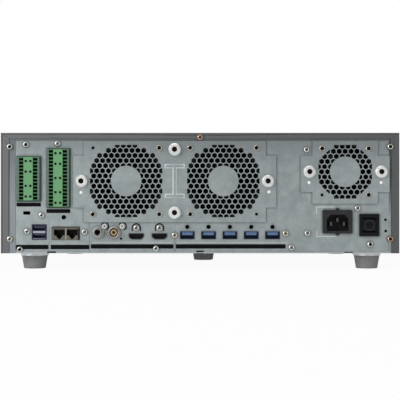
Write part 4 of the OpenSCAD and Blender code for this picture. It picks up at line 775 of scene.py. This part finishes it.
# white domed pins on the two fan plates
plateDots = {"radius": 1.6, "height": 0.5, "dome": [(0, 1), (0.5, 0.85), (0.85, 0.45), (1, 0), (0, 0)],
             "steps": 20, "fan_unit": [(-128.4, 65.7), (74.3, 66.3)],
             "psu_fan_unit": [(117.6, 76.3), (195.2, 76.3)]}
for body in ("fan_unit", "psu_fan_unit"):
    bm = bmesh.new()
    dome = [(wide * plateDots["radius"], -rise * plateDots["height"]) for wide, rise in plateDots["dome"]]
    for x, h in plateDots[body]:
        addTurned(bm, dome, rearPoint(x, h, plateThick), plateDots["steps"])
    newPiece(body + "_pins", bm, body, "white")

# clips of the mains inlet, above and below its flange
inletClips = {"x": 148.3, "half": 2.4, "tip": 1.0, "root": 0.2, "rise": 1.9, "thick": 2.0, "above": 46.6,
              "below": 21.6}
bm = bmesh.new()
for edge, way in ((inletClips["above"], 1), (inletClips["below"], -1)):
    low = rearPoint(inletClips["x"] - inletClips["half"], edge - inletClips["root"], inletClips["thick"])
    high = rearPoint(inletClips["x"] + inletClips["half"], edge + inletClips["root"])
    verts = addBlock(bm, low, high)
    far = [v for v in verts if (v.co.z - (low.z + high.z) / 2) * way > 0]
    bmesh.ops.translate(bm, vec=(0, 0, way * inletClips["rise"] * mm), verts=far)
    bmesh.ops.scale(bm, vec=(inletClips["tip"] / inletClips["half"], 1, 1), verts=far,
                    space=Matrix.Translation((-inletClips["x"] * mm, 0, 0)))
newPiece("inlet_clips", bm, "case", "inlet")

# contact wires in the roof of each network socket
lanContacts = {"middles": (-151.8, -138.0), "count": 8, "pitch": 1.0, "wide": 0.4, "thick": 0.4, "top": 25.6,
               "drop": 1.5, "from": 1.5, "to": 9.5}
bm = bmesh.new()
for middle in lanContacts["middles"]:
    for i in range(lanContacts["count"]):
        x = middle + (i - (lanContacts["count"] - 1) / 2) * lanContacts["pitch"]
        under = lanContacts["top"] - lanContacts["thick"]
        low = rearPoint(x - lanContacts["wide"] / 2, under, -lanContacts["from"])
        high = rearPoint(x + lanContacts["wide"] / 2, lanContacts["top"], -lanContacts["to"])
        verts = addBlock(bm, low, high)
        deep = [v for v in verts if v.co.y > (low.y + high.y) / 2]
        bmesh.ops.translate(bm, vec=(0, 0, -lanContacts["drop"] * mm), verts=deep)
newPiece("lan_contacts", bm, "case", "brass")

# collar round the key lock in the front door
lockCollar = {"x": 84.4, "h": 65.0, "steps": 48,
              "profile": [(8.2, 0), (8.2, 0.56), (8.5, 0.8), (9.6, 0.8), (10.2, 0.24), (10.2, 0), (8.2, 0)]}
bm = bmesh.new()
center = Vector((lockCollar["x"] * mm, frontY, baseZ + lockCollar["h"] * mm))
addTurned(bm, lockCollar["profile"], center, lockCollar["steps"])
newPiece("lock_collar", bm, "front_door", "bright")
print("trim pieces made")


# pale floor, soft light and the camera
stageLook = {"floor": srgb(240, 240, 240), "floorRough": 0.9, "floorWhite": 0.94, "floorDrop": 0.2,
             "size": 4.0, "worldLevel": 0.38, "roomDark": 0.25, "roomBehind": (-0.95, -0.4),
             "roomRight": 0.6, "roomAcross": (-0.6, 0.6), "aim": (0, 0, 0.08)}
cameraLook = {"place": (0.024, -1.325, 0.0755), "lens": 94.2, "sensor": 36.0, "shift": (-0.0558, 0.0001)}
lamps = {"keyLeft": {"place": (-1.4, -1.6, 0.75), "size": 1.5, "power": 33.0},
         "fillRight": {"place": (1.4, -1.7, 0.6), "size": 1.4, "power": 9.0},
         "topSoft": {"place": (0.0, 0.2, 1.8), "size": 1.6, "power": 6.0}}


def buildStage():
    bm = bmesh.new()
    bmesh.ops.create_grid(bm, x_segments=1, y_segments=1, size=stageLook["size"])
    mesh = bpy.data.meshes.new("floor")
    bm.to_mesh(mesh)
    bm.free()
    floor = bpy.data.objects.new("floor", mesh)
    floor.location.z = -stageLook["floorDrop"] * mm
    bpy.context.scene.collection.objects.link(floor)
    material = bpy.data.materials.new("floorPale")
    material.use_nodes = True
    tree = material.node_tree
    shader = tree.nodes["Principled BSDF"]
    shader.inputs["Base Color"].default_value = stageLook["floor"]
    shader.inputs["Roughness"].default_value = stageLook["floorRough"]
    rays = put(tree, "LightPath")
    seen = maths(tree, "MAXIMUM", rays.outputs["Is Camera Ray"],
                 maths(tree, "MAXIMUM", rays.outputs["Is Glossy Ray"], rays.outputs["Is Transmission Ray"]))
    white = put(tree, "Emission", {"Color": (1, 1, 1, 1), "Strength": 1.0})
    share = put(tree, "MixShader", {0: maths(tree, "MULTIPLY", seen, stageLook["floorWhite"]),
                                    1: shader.outputs[0], 2: white.outputs[0]})
    tree.links.new(share.outputs[0], tree.nodes["Material Output"].inputs["Surface"])
    mesh.materials.append(material)

    world = bpy.data.worlds.new("paleRoom")
    bpy.context.scene.world = world
    world.use_nodes = True
    tree = world.node_tree
    back = tree.nodes["Background"]
    back.inputs["Color"].default_value = (1, 1, 1, 1)
    rays = put(tree, "LightPath")
    way = put(tree, "SeparateXYZ", {0: put(tree, "TexCoord").outputs["Generated"]})
    room = ranged(tree, way.outputs["Y"], stageLook["roomBehind"], (stageLook["roomDark"], 1.0))
    side = ranged(tree, way.outputs["X"], stageLook["roomAcross"], (1.0, stageLook["roomRight"]))
    room = maths(tree, "MULTIPLY", room, side)
    seen = maths(tree, "MAXIMUM", rays.outputs["Is Glossy Ray"], rays.outputs["Is Transmission Ray"])
    level = maths(tree, "MULTIPLY", seen, room)
    level = maths(tree, "MAXIMUM", level, rays.outputs["Is Camera Ray"])
    level = maths(tree, "MAXIMUM", level, stageLook["worldLevel"])
    tree.links.new(level, back.inputs["Strength"])

    for name, lamp in lamps.items():
        data = bpy.data.lights.new(name, "AREA")
        data.size = lamp["size"]
        data.energy = lamp["power"]
        light = bpy.data.objects.new(name, data)
        light.location = lamp["place"]
        aim = Vector(stageLook["aim"]) - light.location
        light.rotation_euler = aim.to_track_quat("-Z", "Y").to_euler()
        bpy.context.scene.collection.objects.link(light)

    data = bpy.data.cameras.new("photoCamera")
    data.lens = cameraLook["lens"]
    data.sensor_width = cameraLook["sensor"]
    data.sensor_fit = "HORIZONTAL"
    camera = bpy.data.objects.new("photoCamera", data)
    camera.location = cameraLook["place"]
    data.shift_x, data.shift_y = cameraLook["shift"]
    camera.rotation_euler = (math.radians(90), 0, 0)
    bpy.context.scene.collection.objects.link(camera)
    bpy.context.scene.camera = camera
    bpy.context.scene.view_settings.view_transform = "Standard"


buildStage()
print("stage, lamps and camera set")
